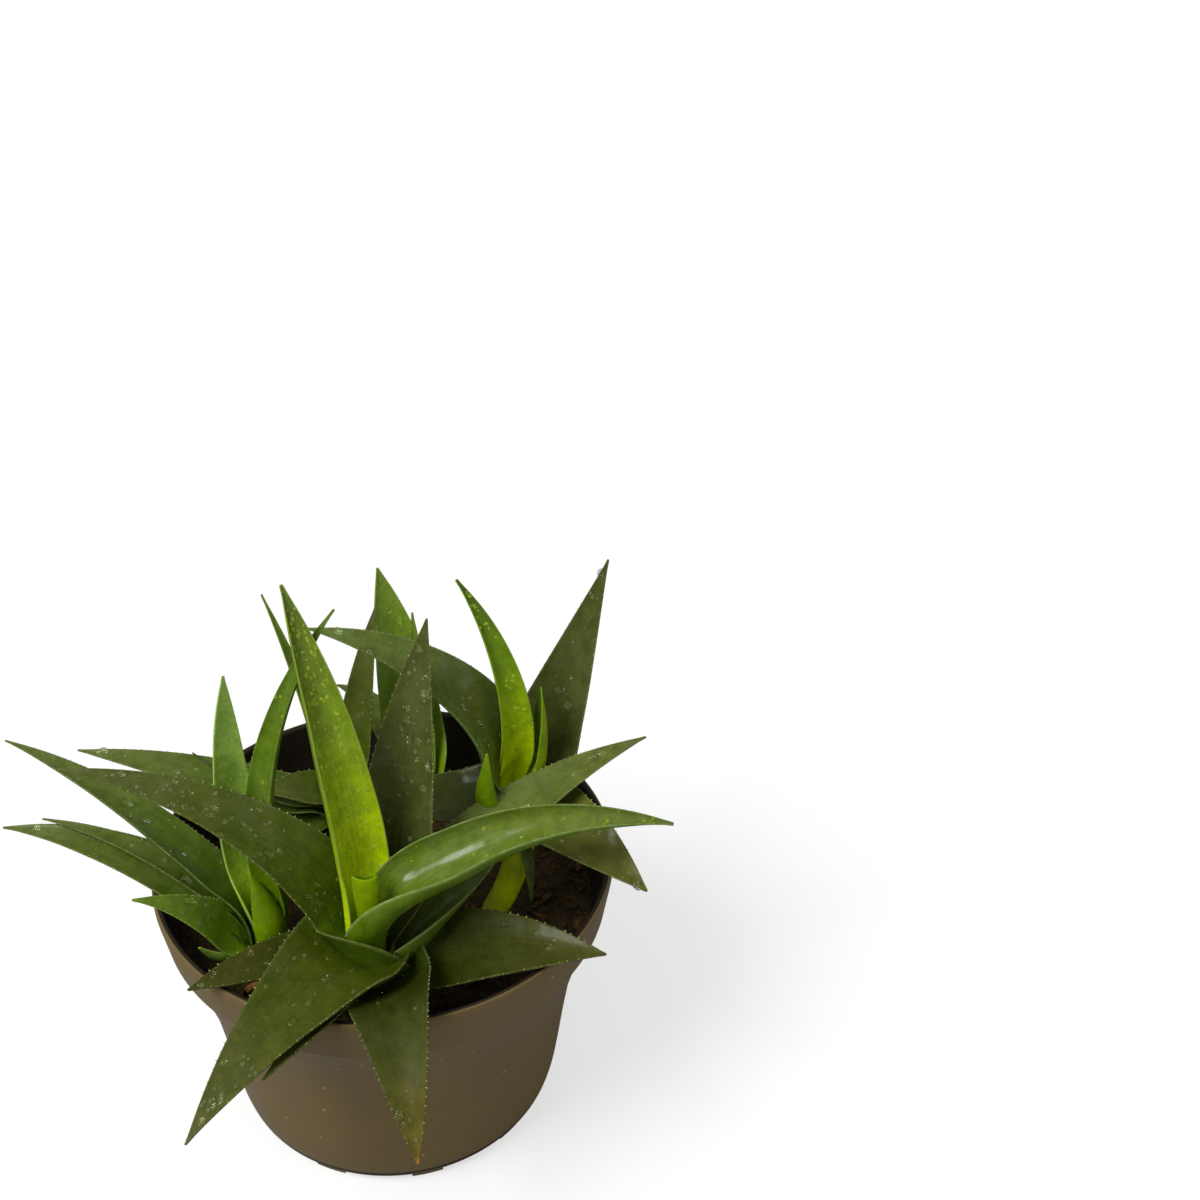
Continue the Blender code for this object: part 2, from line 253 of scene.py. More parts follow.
@dataclass
class Scatter:
    """Copies of small shapes, gathered into one mesh."""

    points: list[np.ndarray] = field(default_factory=list)
    faces: list[tuple[int, ...]] = field(default_factory=list)
    count: int = 0

    def add(self, shape: Shape, place: Matrix) -> None:
        """Add one copy.

        Args:
            shape: What is copied.
            place: Where it goes, with its turn and size.
        """
        table = np.array(place)
        placed = shape.points @ table[:3, :3].T + table[:3, 3]
        self.points.append(placed)
        self.faces.extend(tuple(index + self.count for index in face) for face in shape.faces)
        self.count += len(placed)

    def build(self, name: str, smooth: bool) -> bpy.types.Object:
        """Make the object that holds all the copies.

        Args:
            name: The piece's name.
            smooth: Whether its faces are shaded smooth.

        Returns:
            The new object.
        """
        mesh = bpy.data.meshes.new(name)
        mesh.from_pydata(np.concatenate(self.points).tolist(), [], self.faces)
        mesh.update()
        item = bpy.data.objects.new(name, mesh)
        bpy.context.scene.collection.objects.link(item)
        if smooth:
            mesh.shade_smooth()
        else:
            mesh.shade_flat()
        return item


def stand_on(point: np.ndarray, upward: np.ndarray, forward: np.ndarray, size: Sequence[float]) -> Matrix:
    """Work out the matrix that stands a shape on a surface.

    Args:
        point: Where the shape's origin goes.
        upward: The surface's normal, which takes the shape's Z.
        forward: About which way the shape's Y points.
        size: The scale along the shape's X, Y and Z.

    Returns:
        The placing matrix.
    """
    up = Vector(upward).normalized()
    side = Vector(forward).cross(up).normalized()
    ahead = up.cross(side)
    columns = Matrix((side * size[0], ahead * size[1], up * size[2])).transposed().to_4x4()
    return Matrix.Translation(Vector(point)) @ columns


# Shader helpers


class Bench:
    """One shader node tree, with short ways to add and join its nodes."""

    def __init__(self, tree: bpy.types.NodeTree) -> None:
        """Keep the tree.

        Args:
            tree: The node tree of a material or a group.
        """
        self.tree = tree

    def node(self, kind: str, **settings: object) -> bpy.types.Node:
        """Add a node.

        Args:
            kind: The node's type name.
            **settings: Properties of the node.

        Returns:
            The new node.
        """
        made = self.tree.nodes.new(kind)
        for key, value in settings.items():
            setattr(made, key, value)
        return made

    def join(self, source: bpy.types.NodeSocket, target: bpy.types.NodeSocket) -> None:
        """Link an output to an input."""
        self.tree.links.new(source, target)

    def feed(self, target: bpy.types.NodeSocket, value: object) -> None:
        """Link a socket to an input, or set the input to a plain value.

        Args:
            target: The input.
            value: A socket, a number or a colour.
        """
        if isinstance(value, bpy.types.NodeSocket):
            self.join(value, target)
        elif isinstance(value, tuple) and len(value) == 3 and target.type == "RGBA":
            target.default_value = (*value, 1.0)
        else:
            target.default_value = value

    def maths(self, operation: str, first: object, second: object = 0.0) -> bpy.types.NodeSocket:
        """Add a Math node.

        Args:
            operation: What it works out.
            first: Its first value.
            second: Its second value, where it takes one.

        Returns:
            Its result.
        """
        made = self.node("ShaderNodeMath", operation=operation)
        self.feed(made.inputs[0], first)
        self.feed(made.inputs[1], second)
        return made.outputs[0]

    def spread(
        self, value: object, low: float, high: float, start: float, end: float
    ) -> bpy.types.NodeSocket:
        """Map a range of values smoothly to another, held at both ends.

        Args:
            value: What is mapped.
            low: The value that gives the start.
            high: The value that gives the end.
            start: The result at and below low.
            end: The result at and above high.

        Returns:
            The mapped value.
        """
        made = self.node("ShaderNodeMapRange", clamp=True, interpolation_type="SMOOTHSTEP")
        self.feed(made.inputs["Value"], value)
        made.inputs["From Min"].default_value = low
        made.inputs["From Max"].default_value = high
        made.inputs["To Min"].default_value = start
        made.inputs["To Max"].default_value = end
        return made.outputs["Result"]

    def mix(self, share: object, first: object, second: object, blend: str = "MIX") -> bpy.types.NodeSocket:
        """Mix two colours.

        Args:
            share: How much of the second colour there is.
            first: The first colour.
            second: The second colour.
            blend: How the two are combined.

        Returns:
            The mixed colour.
        """
        made = self.node("ShaderNodeMix", data_type="RGBA", blend_type=blend)
        self.feed(made.inputs[0], share)
        self.feed(made.inputs[6], first)
        self.feed(made.inputs[7], second)
        return made.outputs[2]

    def place(self) -> bpy.types.NodeSocket:
        """Add a Texture Coordinate node and return the place on the object."""
        return self.node("ShaderNodeTexCoord").outputs["Object"]

    def times(self, first: object, second: object) -> bpy.types.NodeSocket:
        """Multiply two values and return the product."""
        return self.maths("MULTIPLY", first, second)

    def tint(self, colour: bpy.types.NodeSocket, factor: Measures) -> bpy.types.NodeSocket:
        """Multiply a colour by a factor for each of its parts."""
        return self.mix(1.0, colour, factor, "MULTIPLY")

    def noise(
        self, vector: bpy.types.NodeSocket, scale: float, detail: float, rough: float = 0.55
    ) -> bpy.types.NodeSocket:
        """Add a Noise Texture.

        Args:
            vector: The place it is drawn at.
            scale: How fine it is.
            detail: How many finer layers it has.
            rough: How strong the finer layers are.

        Returns:
            Its value.
        """
        made = self.node("ShaderNodeTexNoise")
        self.join(vector, made.inputs["Vector"])
        made.inputs["Scale"].default_value = scale
        made.inputs["Detail"].default_value = detail
        made.inputs["Roughness"].default_value = rough
        return made.outputs["Fac"]

    def dots(
        self, vector: bpy.types.NodeSocket, scale: float, inner: float, outer: float
    ) -> bpy.types.NodeSocket:
        """Add scattered round dots.

        Args:
            vector: The place they are drawn at.
            scale: How close together they are.
            inner: The radius up to which a dot is 1.
            outer: The radius at which it has faded to 0.

        Returns:
            The dots' value.
        """
        made = self.node("ShaderNodeTexVoronoi", feature="F1")
        made.inputs["Scale"].default_value = scale
        self.join(vector, made.inputs["Vector"])
        return self.spread(made.outputs["Distance"], inner, outer, 1, 0)

    def stretch(self, vector: bpy.types.NodeSocket, scale: Measures) -> bpy.types.NodeSocket:
        """Scale a place differently along each axis.

        Args:
            vector: The place.
            scale: The factor along each axis.

        Returns:
            The scaled place.
        """
        made = self.node("ShaderNodeMapping")
        made.inputs["Scale"].default_value = scale
        self.join(vector, made.inputs["Vector"])
        return made.outputs[0]

    def bump(
        self, shader: bpy.types.Node, height: bpy.types.NodeSocket, strength: float, distance: float
    ) -> None:
        """Raise a shader's surface by a height.

        Args:
            shader: The shader.
            height: The height, from 0 to 1.
            strength: How strongly it shows.
            distance: How far a height of 1 stands out, in metres.
        """
        made = self.node("ShaderNodeBump")
        made.inputs["Strength"].default_value = strength
        made.inputs["Distance"].default_value = distance
        self.join(height, made.inputs["Height"])
        self.join(made.outputs["Normal"], shader.inputs["Normal"])

    def ramp(self, share: bpy.types.NodeSocket, stops: Sequence[tuple[float, tuple]]) -> bpy.types.NodeSocket:
        """Add a Color Ramp.

        Args:
            share: The place along it that is read.
            stops: The place and colour of each stop.

        Returns:
            The colour there.
        """
        made = self.node("ShaderNodeValToRGB")
        made.color_ramp.interpolation = "B_SPLINE"
        elements = made.color_ramp.elements
        while len(elements) < len(stops):
            elements.new(0.5)
        for element, (place, colour) in zip(elements, stops):
            element.position = place
            element.color = (*colour, 1.0)
        self.join(share, made.inputs["Fac"])
        return made.outputs["Color"]


def new_group(name: str, inputs: Sequence[str]) -> tuple[Bench, bpy.types.Node]:
    """Start a shader node group.

    Args:
        name: The group's name.
        inputs: The names of its inputs, which are vectors.

    Returns:
        A bench on the group, and the node that holds its inputs.
    """
    tree = bpy.data.node_groups.new(name, "ShaderNodeTree")
    for label in inputs:
        tree.interface.new_socket(name=label, in_out="INPUT", socket_type="NodeSocketVector")
    bench = Bench(tree)
    return bench, bench.node("NodeGroupInput")


def finish_group(bench: Bench, results: dict[str, bpy.types.NodeSocket]) -> bpy.types.NodeTree:
    """Give a shader node group its outputs, which are plain values.

    Args:
        bench: The bench on the group.
        results: Each output's name and what feeds it.

    Returns:
        The group.
    """
    for label in results:
        bench.tree.interface.new_socket(name=label, in_out="OUTPUT", socket_type="NodeSocketFloat")
    end = bench.node("NodeGroupOutput")
    for label, value in results.items():
        bench.join(value, end.inputs[label])
    return bench.tree


def new_material(name: str) -> tuple[bpy.types.Material, Bench, bpy.types.Node]:
    """Start a material with its Principled shader.

    Args:
        name: The material's name.

    Returns:
        The material, a bench on its tree, and the shader node.
    """
    material = bpy.data.materials.new(name)
    material.use_nodes = True
    return material, Bench(material.node_tree), material.node_tree.nodes["Principled BSDF"]


def set_inputs(node: bpy.types.Node, values: dict[str, object]) -> None:
    """Set a node's inputs to plain values.

    Args:
        node: The node.
        values: Each input's name and value.
    """
    for label, value in values.items():
        node.inputs[label].default_value = value


def leaf_marks_group() -> bpy.types.NodeTree:
    """The marks on a leaf's skin: mottling, lengthwise veins, pale specks, margins, wet films and rust.

    Returns:
        The node group. Its inputs are the surface map, whose X runs across and Y along the leaf, and a
        place in space, which gives each leaf marks of its own.
    """
    bench, start = new_group("leaf_marks", ("Map", "Place"))
    place = start.outputs["Place"]
    split = bench.node("ShaderNodeSeparateXYZ")
    bench.join(start.outputs["Map"], split.inputs[0])

    cloud = bench.noise(place, 95, 4, 0.62)
    blotch = bench.noise(place, 210, 5, 0.72)
    shifted = bench.node("ShaderNodeVectorMath", operation="MULTIPLY_ADD")
    bench.join(place, shifted.inputs[0])
    shifted.inputs[1].default_value = (14, 14, 14)
    bench.join(bench.stretch(start.outputs["Map"], (46, 2.2, 1)), shifted.inputs[2])
    vein = bench.noise(shifted.outputs[0], 1, 3, 0.6)
    streaked = bench.maths("ADD", bench.times(blotch, 0.6), bench.times(vein, 0.4))

    patches = bench.spread(bench.noise(place, 60, 2), 0.5, 0.62, 0, 1)
    speck = bench.times(bench.dots(place, 900, 0.16, 0.3), patches)
    from_middle = bench.maths("ABSOLUTE", bench.maths("SUBTRACT", split.outputs["X"], 0.5))
    rusty = bench.spread(bench.noise(place, 30, 1), 0.5, 0.58, 0, 1)

    height = bench.times(vein, 0.3)
    for mark, share in ((blotch, 0.3), (cloud, 0.9), (speck, 0.25)):
        height = bench.maths("ADD", height, bench.times(mark, share))
    return finish_group(
        bench,
        {
            "Mottle": bench.spread(cloud, 0.36, 0.66, 0, 1),
            "Tone": bench.spread(streaked, 0.4, 0.6, 0, 1),
            "Vein": vein,
            "Speck": speck,
            "Margin": bench.spread(from_middle, 0.455, 0.495, 0, 1),
            "Wet": bench.spread(bench.noise(place, 42, 3, 0.7), 0.47, 0.58, 0, 1),
            "Rust": bench.times(bench.dots(place, 75, 0.05, 0.11), rusty),
            "Along": split.outputs["Y"],
            "Height": height,
        },
    )


def grime_group() -> bpy.types.NodeTree:
    """The marks of use on plastic: soft clouds, upright scuffs, splashed specks and a fine grain.

    Returns:
        The node group. Its one input is a place in space.
    """
    bench, start = new_group("grime", ("Place",))
    place = start.outputs["Place"]
    upright = bench.stretch(place, (420, 420, 16))
    sparse = bench.spread(bench.noise(place, 48, 1), 0.5, 0.55, 0, 1)
    return finish_group(
        bench,
        {
            "Cloud": bench.spread(bench.noise(place, 26, 4, 0.6), 0.34, 0.68, 0, 1),
            "Scuff": bench.spread(bench.noise(upright, 1, 3, 0.6), 0.62, 0.78, 0, 1),
            "Speck": bench.times(bench.dots(place, 130, 0.05, 0.075), sparse),
            "Grain": bench.noise(place, 900, 2),
        },
    )


def flesh_glow(weight: float) -> dict[str, object]:
    """The shader inputs that let a little light through juicy green flesh.

    Args:
        weight: How much light goes through.

    Returns:
        Each input's name and value.
    """
    return {
        "Subsurface Weight": weight,
        "Subsurface Radius": (0.6, 1.0, 0.15),
        "Subsurface Scale": 0.0015,
    }


@dataclass(frozen=True)
class LeafSkin:
    """One finish of leaf, from its base to its tip, with the bloom on it and the leaf's underside.

    Colours are 0 to 255 screen values.
    """

    name: str
    base: Colour
    middle: Colour
    tip: Colour
    bloom: Colour
    under: Colour
    roughness: float = 0.42
    wetness: float = 0.5
    rust: float = 0.0
    dry_tip: bool = False

    DRIED: ClassVar[Colour] = (214, 140, 56)
    RUSTED: ClassVar[Colour] = (140, 84, 38)
    HORN: ClassVar[Colour] = (160, 172, 96)
    MARGIN_GLOSS: ClassVar[dict[str, float]] = {"Roughness": 0.5, "Specular IOR Level": 0.2}
    TOOTH_GLOSS: ClassVar[dict[str, float]] = {"Roughness": 0.45}
    DEEPER: ClassVar[Measures] = (0.78, 0.82, 0.7)
    FULLER: ClassVar[Measures] = (1.2, 1.18, 1.22)
    VEINED: ClassVar[Measures] = (0.62, 0.68, 0.5)
    SPECKED: ClassVar[Measures] = (1.5, 1.45, 1.35)

    def build(self, marks: bpy.types.NodeTree) -> tuple[bpy.types.Material, ...]:
        """Make the finish's materials.

        Args:
            marks: The group of skin marks.

        Returns:
            The materials of the upper face, the lower face, the margin and the teeth.
        """
        return (
            self._skin(marks, "upper", (self.base, self.middle, self.tip)),
            self._skin(marks, "under", (self.base, self.under, self.under)),
            self._edging("margin", 420, (self.middle, self._paler(16)), self.MARGIN_GLOSS),
            self._edging("teeth", 300, (self._paler(36), self.HORN), self.TOOTH_GLOSS),
        )

    def _paler(self, amount: int) -> Colour:
        """The bloom's colour, made paler."""
        return tuple(min(255, part + amount) for part in self.bloom)

    def _skin(self, marks: bpy.types.NodeTree, face: str, colours: tuple[Colour, ...]) -> bpy.types.Material:
        """Make the skin of one face.

        Args:
            marks: The group of skin marks.
            face: The face's name.
            colours: The colours at the leaf's base, middle and tip.

        Returns:
            The material.
        """
        material, bench, shader = new_material(f"{self.name}_{face}")
        where = bench.node("ShaderNodeTexCoord")
        group = bench.node("ShaderNodeGroup", node_tree=marks)
        bench.join(where.outputs["UV"], group.inputs["Map"])
        bench.join(where.outputs["Object"], group.inputs["Place"])
        mark = group.outputs

        base, middle, tip = (srgb(*colour) for colour in colours)
        ends = [(0.968, tip), (0.99, srgb(*self.DRIED))] if self.dry_tip else [(0.9, tip)]
        colour = bench.ramp(mark["Along"], [(0.1, base), (0.45, middle), *ends])
        bloom_share = bench.times(mark["Mottle"], bench.spread(mark["Along"], 0.1, 0.5, 0.06, 0.42))
        colour = bench.mix(bloom_share, colour, srgb(*self.bloom))
        colour = bench.mix(mark["Tone"], bench.tint(colour, self.DEEPER), bench.tint(colour, self.FULLER))
        vein_share = bench.spread(mark["Vein"], 0.42, 0.66, 0.0, 0.13)
        colour = bench.mix(vein_share, colour, bench.tint(colour, self.VEINED))
        colour = bench.mix(bench.times(mark["Speck"], 0.4), colour, bench.tint(colour, self.SPECKED))
        colour = bench.mix(bench.times(mark["Margin"], 0.4), colour, srgb(*self._paler(24)))
        if self.rust:
            colour = bench.mix(bench.times(mark["Rust"], self.rust), colour, srgb(*self.RUSTED))
        bench.join(colour, shader.inputs["Base Color"])

        dry = bench.spread(mark["Mottle"], 0, 1, self.roughness, self.roughness + 0.14)
        bench.join(dry, shader.inputs["Roughness"])
        bench.join(bench.times(mark["Wet"], self.wetness * 0.7), shader.inputs["Coat Weight"])
        bench.bump(shader, mark["Height"], 0.32, 0.0006)
        gloss = {"Coat Roughness": 0.16, "Coat IOR": 1.33, "Specular IOR Level": 0.13, "IOR": 1.42}
        set_inputs(shader, gloss | flesh_glow(0.12))
        return material

    def _edging(
        self, part: str, scale: float, colours: tuple[Colour, Colour], finish: dict[str, float]
    ) -> bpy.types.Material:
        """Make the pale line along the leaf's edge, or the horny teeth.

        Args:
            part: The part's name.
            scale: How fine its clouds of colour are.
            colours: The two colours that it is clouded with.
            finish: The shader's plain inputs.

        Returns:
            The material.
        """
        material, bench, shader = new_material(f"{self.name}_{part}")
        share = bench.spread(bench.noise(bench.place(), scale, 2), 0.35, 0.65, 0, 1)
        first, second = (srgb(*colour) for colour in colours)
        bench.join(bench.mix(share, first, second), shader.inputs["Base Color"])
        set_inputs(shader, finish)
        return material


class Skin(Enum):
    """The finishes of leaf on this plant."""

    HEART = LeafSkin("heart_leaf", (142, 172, 0), (120, 152, 0), (96, 122, 20), (120, 148, 10),
         (104, 134, 6), 0.45, 0.2)
    LIME = LeafSkin("lime_leaf", (204, 226, 0), (132, 162, 0), (88, 106, 48), (112, 130, 44), (86, 112, 20),
         0.45, 0.3)
    # Lime leaf whose colours, its base most of all, are brightened past its own lime: painted glow of light
    # shining through the flesh.
    BACKLIT_GLOW = LeafSkin("backlit_glow_leaf", (236, 250, 0), (126, 162, 0), (62, 86, 28), (88, 116, 14),
         (132, 160, 4), 0.45, 0.3)
    SHINING = LeafSkin("shining_leaf", (74, 86, 16), (88, 98, 38), (96, 108, 46), (88, 114, 62),
         (66, 94, 46), 0.4, 1.0)
    PALE = LeafSkin("pale_leaf", (160, 196, 20), (164, 203, 66), (160, 196, 100), (160, 194, 98),
         (140, 176, 50), 0.45, 0.3)
    FRESH = LeafSkin("fresh_leaf", (114, 144, 0), (106, 140, 14), (114, 138, 46), (114, 138, 54),
         (92, 122, 20), 0.45, 0.3)
    LEEK = LeafSkin("leek_leaf", (104, 134, 0), (88, 116, 10), (84, 108, 26), (92, 116, 36), (84, 112, 18),
         0.45, 0.3)
    YOUNG = LeafSkin("young_leaf", (80, 108, 0), (104, 126, 32), (102, 114, 44), (114, 132, 70),
         (88, 114, 16), 0.38, 1.4, 0.9)
    GREEN = LeafSkin("green_leaf", (54, 80, 0), (76, 98, 20), (102, 114, 54), (94, 106, 50), (76, 94, 28),
         0.45, 0.5)
    WASHED = LeafSkin("washed_leaf", (78, 98, 14), (98, 114, 40), (99, 107, 52), (94, 106, 50),
         (76, 94, 28), 0.45, 0.7)
    OLIVE = LeafSkin("olive_leaf", (58, 82, 0), (72, 86, 8), (90, 96, 48), (84, 92, 38), (66, 78, 20), 0.45,
         0.6)
    BRONZE = LeafSkin("bronze_leaf", (50, 66, 0), (64, 74, 4), (88, 90, 42), (78, 84, 30), (66, 76, 18),
         0.43, 0.7)
    DARK = LeafSkin("dark_leaf", (38, 50, 0), (40, 50, 2), (78, 78, 28), (70, 74, 24), (58, 68, 14), 0.42,
         0.5)
    DARK_DRY_TIP = LeafSkin("dry_tipped_leaf", (42, 58, 0), (28, 38, 0), (90, 96, 40), (70, 76, 26),
         (62, 70, 20), 0.45, 0.4, 0.0, True)
    GREY = LeafSkin("grey_leaf", (62, 70, 22), (74, 82, 36), (76, 82, 34), (86, 90, 44), (68, 76, 30), 0.42,
         0.8)
    DUSKY = LeafSkin("dusky_leaf", (78, 90, 20), (94, 102, 34), (92, 90, 38), (96, 100, 44), (72, 78, 30),
         0.42, 0.8)


@dataclass(frozen=True)
class Plastic:
    """Moulded plastic with a satin face. Colours are 0 to 255 screen values."""

    name: str
    colour: Colour
    dust: Colour
    roughness: float
    dusting: float

    SCUFFED: ClassVar[Measures] = (1.25, 1.24, 1.2)
    SPLASHED: ClassVar[Colour] = (196, 178, 138)

    def build(self, grime: bpy.types.NodeTree) -> bpy.types.Material:
        """Make the material.

        Args:
            grime: The group of marks of use.

        Returns:
            The material.
        """
        material, bench, shader = new_material(self.name)
        group = bench.node("ShaderNodeGroup", node_tree=grime)
        bench.join(bench.place(), group.inputs["Place"])
        mark = group.outputs
        colour = bench.mix(bench.times(mark["Cloud"], self.dusting), srgb(*self.colour), srgb(*self.dust))
        colour = bench.mix(bench.times(mark["Scuff"], 0.3), colour, bench.tint(colour, self.SCUFFED))
        colour = bench.mix(bench.times(mark["Speck"], 0.6), colour, srgb(*self.SPLASHED))
        bench.join(colour, shader.inputs["Base Color"])
        rough = bench.spread(mark["Cloud"], 0, 1, self.roughness, self.roughness + 0.12)
        bench.join(rough, shader.inputs["Roughness"])
        bench.bump(shader, mark["Grain"], 0.12, 0.0002)
        set_inputs(shader, {"Specular IOR Level": 0.2})
        return material


@dataclass(frozen=True)
class Earth:
    """Potting mix: dark peat with lighter, drier bits. Colours are 0 to 255 screen values."""

    name: str
    dark: Colour
    light: Colour
    dry_share: float

    def build(self) -> bpy.types.Material:
        """Make the material.

        Returns:
            The material.
        """
        material, bench, shader = new_material(self.name)
        place = bench.place()
        coarse = bench.noise(place, 160, 4, 0.7)
        fine = bench.noise(place, 700, 3, 0.7)
        both = bench.maths("ADD", bench.times(coarse, 0.6), bench.times(fine, 0.4))
        share = bench.spread(both, 0.42, 0.66, 0, self.dry_share)
        bench.join(bench.mix(share, srgb(*self.dark), srgb(*self.light)), shader.inputs["Base Color"])
        bench.join(bench.spread(coarse, 0.35, 0.65, 0.62, 0.95), shader.inputs["Roughness"])
        bench.bump(shader, both, 0.9, 0.0012)
        set_inputs(shader, {"Specular IOR Level": 0.2})
        return material


class Mix(Enum):
    """The finishes of soil and of what lies on it."""

    PEAT = Earth("peat", (40, 29, 8), (98, 76, 44), 0.7)
    CRUMB = Earth("soil_crumb", (52, 38, 14), (124, 94, 52), 0.8)
    BARK = Earth("bark_chip", (96, 64, 24), (164, 118, 60), 0.8)


@dataclass(frozen=True)
class Water:
    """Clear drops of water, which let the light through to the leaf below and darken towards their edge:
    painted shade in place of the dark outline that refraction gives.
    """

    name: str = "water_drop"
    clearness: float = 0.4
    rim_shade_tint: Measures = (0.42, 0.46, 0.36)

    def build(self) -> bpy.types.Material:
        """Make the material.

        Returns:
            The material.
        """
        material, bench, shader = new_material(self.name)
        glass = {"Base Color": (1, 1, 1, 1), "Roughness": 0.08, "IOR": 1.3, "Transmission Weight": 1.0}
        set_inputs(shader, glass)
        turned = bench.node("ShaderNodeLayerWeight")
        set_inputs(turned, {"Blend": 0.5})
        # Painted shade: the drop turns darker where it is seen edge-on, in place of the dark outline that
        # refraction gives.
        edge = bench.spread(turned.outputs["Facing"], 0.3, 0.85, 0, 1)
        clear = bench.node("ShaderNodeBsdfTransparent")
        bench.join(bench.mix(edge, (1.0, 1.0, 1.0), self.rim_shade_tint), clear.inputs["Color"])
        path = bench.node("ShaderNodeLightPath")
        blend = bench.node("ShaderNodeMixShader")
        bench.join(bench.maths("MAXIMUM", path.outputs["Is Shadow Ray"], self.clearness), blend.inputs[0])
        bench.join(shader.outputs[0], blend.inputs[1])
        bench.join(clear.outputs[0], blend.inputs[2])
        bench.join(blend.outputs[0], material.node_tree.nodes["Material Output"].inputs["Surface"])
        return material


@dataclass(frozen=True)
class Dew:
    """Small beads of water, half clear and a little paler than the leaf: the pale colour is a painted glint,
    standing in for the light caught in the beads. Colours are 0 to 255 screen values.
    """

    name: str
    colour: Colour
    cover: float

    def build(self) -> bpy.types.Material:
        """Make the material.

        Returns:
            The material.
        """
        material, bench, shader = new_material(self.name)
        share = bench.spread(bench.noise(bench.place(), 260, 2), 0.35, 0.65, 0, 1)
        duller = tuple(part * 4 // 5 for part in self.colour)
        bench.join(bench.mix(share, srgb(*duller), srgb(*self.colour)), shader.inputs["Base Color"])
        set_inputs(shader, {"Roughness": 0.2, "Specular IOR Level": 0.3, "Alpha": self.cover})
        return material


# The beads' pale colours are painted glints of light on the water.
DEW = Dew("dew_glint", (150, 162, 104), 0.26)
BRIGHT_DEW = Dew("bright_dew_glint", (212, 236, 66), 0.27)


# The plant's measures, in millimetres and degrees


class Crown(Enum):
    """A rosette's growing point: where its axis stands at its seats, and its lean in x and y with height."""

    MAIN = (-3.0, -38.0, 98.0, 0.0, 0.0)
    HEART = (-8.0, -42.0, 102.0, 0.0, 0.0)
    LEFT = (-39.0, -21.0, 91.0, 0.0, 0.0)
    BACK_LEFT = (-13.0, 33.0, 92.0, 0.02, 0.02)
    BACK = (15.0, 37.0, 92.0, 0.0, 0.0)
    RIGHT = (44.0, 3.0, 117.0, 0.08, 0.33)


class Age(Enum):
    """How old a leaf is."""

    YOUNG = "young_leaf"
    MIDDLE = "mid_leaf"
    OLD = "old_leaf"


class Teeth(Enum):
    """The teeth along a leaf's margins: the mean gap between them and their height, in millimetres."""

    FINE = (1.5, 0.31)
    SMALL = (2.0, 0.37)
    WIDE = (2.8, 0.43)
    BABY = (1.8, 0.3)


@dataclass(frozen=True)
class Leaf:
    """One leaf: a channelled blade that tapers to its tip, on a sheath that clasps the stem.

    Lengths are in millimetres and angles in degrees. Distances along the leaf are measured from its seat,
    where the blade would leave the stem, and are negative in the sheath.

    The lift above level runs from lift at the seat to tip_lift at the tip, sooner or later as bend says,
    and the azimuth turns by sweep on the way. The sheath stands round the hub's axis at the radius clasp,
    turned by turn from the blade's azimuth and sunk by sink. Between the two distances of opening, the
    sheath gives way to the blade. Near the seat, dip lowers the blade and tuck draws it in to the stem.

    The width is reached at the shoulder, from base_share of it at the seat. The channel's depth and the
    flesh's thickness are shares of the width.
    """

    SEAT_RADIUS: ClassVar[float] = 4.5
    SHOULDER: ClassVar[float] = 0.22
    MOST_OPENING: ClassVar[float] = 0.35
    LEAST_CHORD: ClassVar[float] = 0.5

    name: str
    crown: Crown
    azimuth: float
    lift: float
    tip_lift: float
    sweep: float
    length: float
    width: float
    roll: float
    seat_height: float
    taper: float
    bend: float
    skin: Skin
    age: Age = Age.MIDDLE
    clasp: float = 7.0
    sink: float = 4.0
    hub: Crown | None = None
    turn: float = 0.0
    dip: float = 0.0
    tuck: float = 0.0
    opening: tuple[float, float] = (-4.0, 16.0)
    channel: float = 0.12
    thickness: float = 0.22
    base_share: float = 0.9
    sheath: float = 10.0
    teeth: Teeth = Teeth.WIDE
    drops: int = 0

    @property
    def reach(self) -> float:
        """How far from its seat the leaf has opened from its clasping sheath into a blade."""
        return min(self.opening[1], self.MOST_OPENING * self.length)

    def opened(self, distance: np.ndarray) -> np.ndarray:
        """How far the leaf has opened at distances from the seat: 0 in the sheath and 1 in the blade."""
        return smoothstep(distance, self.opening[0], self.reach)

    def lift_at(self, distance: np.ndarray) -> np.ndarray:
        """The blade's lift above level, in radians, at distances from the seat."""
        share = np.clip(distance / self.length, 0, 1)
        return np.radians(self.lift + (self.tip_lift - self.lift) * share**self.bend)

    def azimuth_at(self, distance: np.ndarray) -> np.ndarray:
        """The way the blade heads round the pot, in radians, at distances from the seat."""
        return np.radians(self.azimuth + self.sweep * np.clip(distance / self.length, 0, 1))

    def facing_at(self, distance: np.ndarray) -> np.ndarray:
        """The side of the stem on which the leaf's middle lies, in radians: the sheath's turn wears off."""
        return self.azimuth_at(distance) + math.radians(self.turn) * (1 - self.opened(distance))

    def chord(self, distance: np.ndarray) -> np.ndarray:
        """The width of the opened blade.

        Args:
            distance: Distances from the seat.

        Returns:
            The widths from margin to margin, in millimetres.
        """
        share = np.clip(distance / self.length, 0, 1)
        swell = np.sin(math.pi / 2 * np.clip(share / self.SHOULDER, 0, 1))
        rise = self.base_share + (1 - self.base_share) * swell
        return np.maximum(self.width * rise * (1 - share**self.taper), self.LEAST_CHORD)


def pointing(lift: np.ndarray, azimuth: np.ndarray) -> np.ndarray:
    """The directions at lifts above level and azimuths round the pot, in radians."""
    level = np.cos(lift)
    return np.stack([level * np.cos(azimuth), level * np.sin(azimuth), np.sin(lift)], axis=-1)


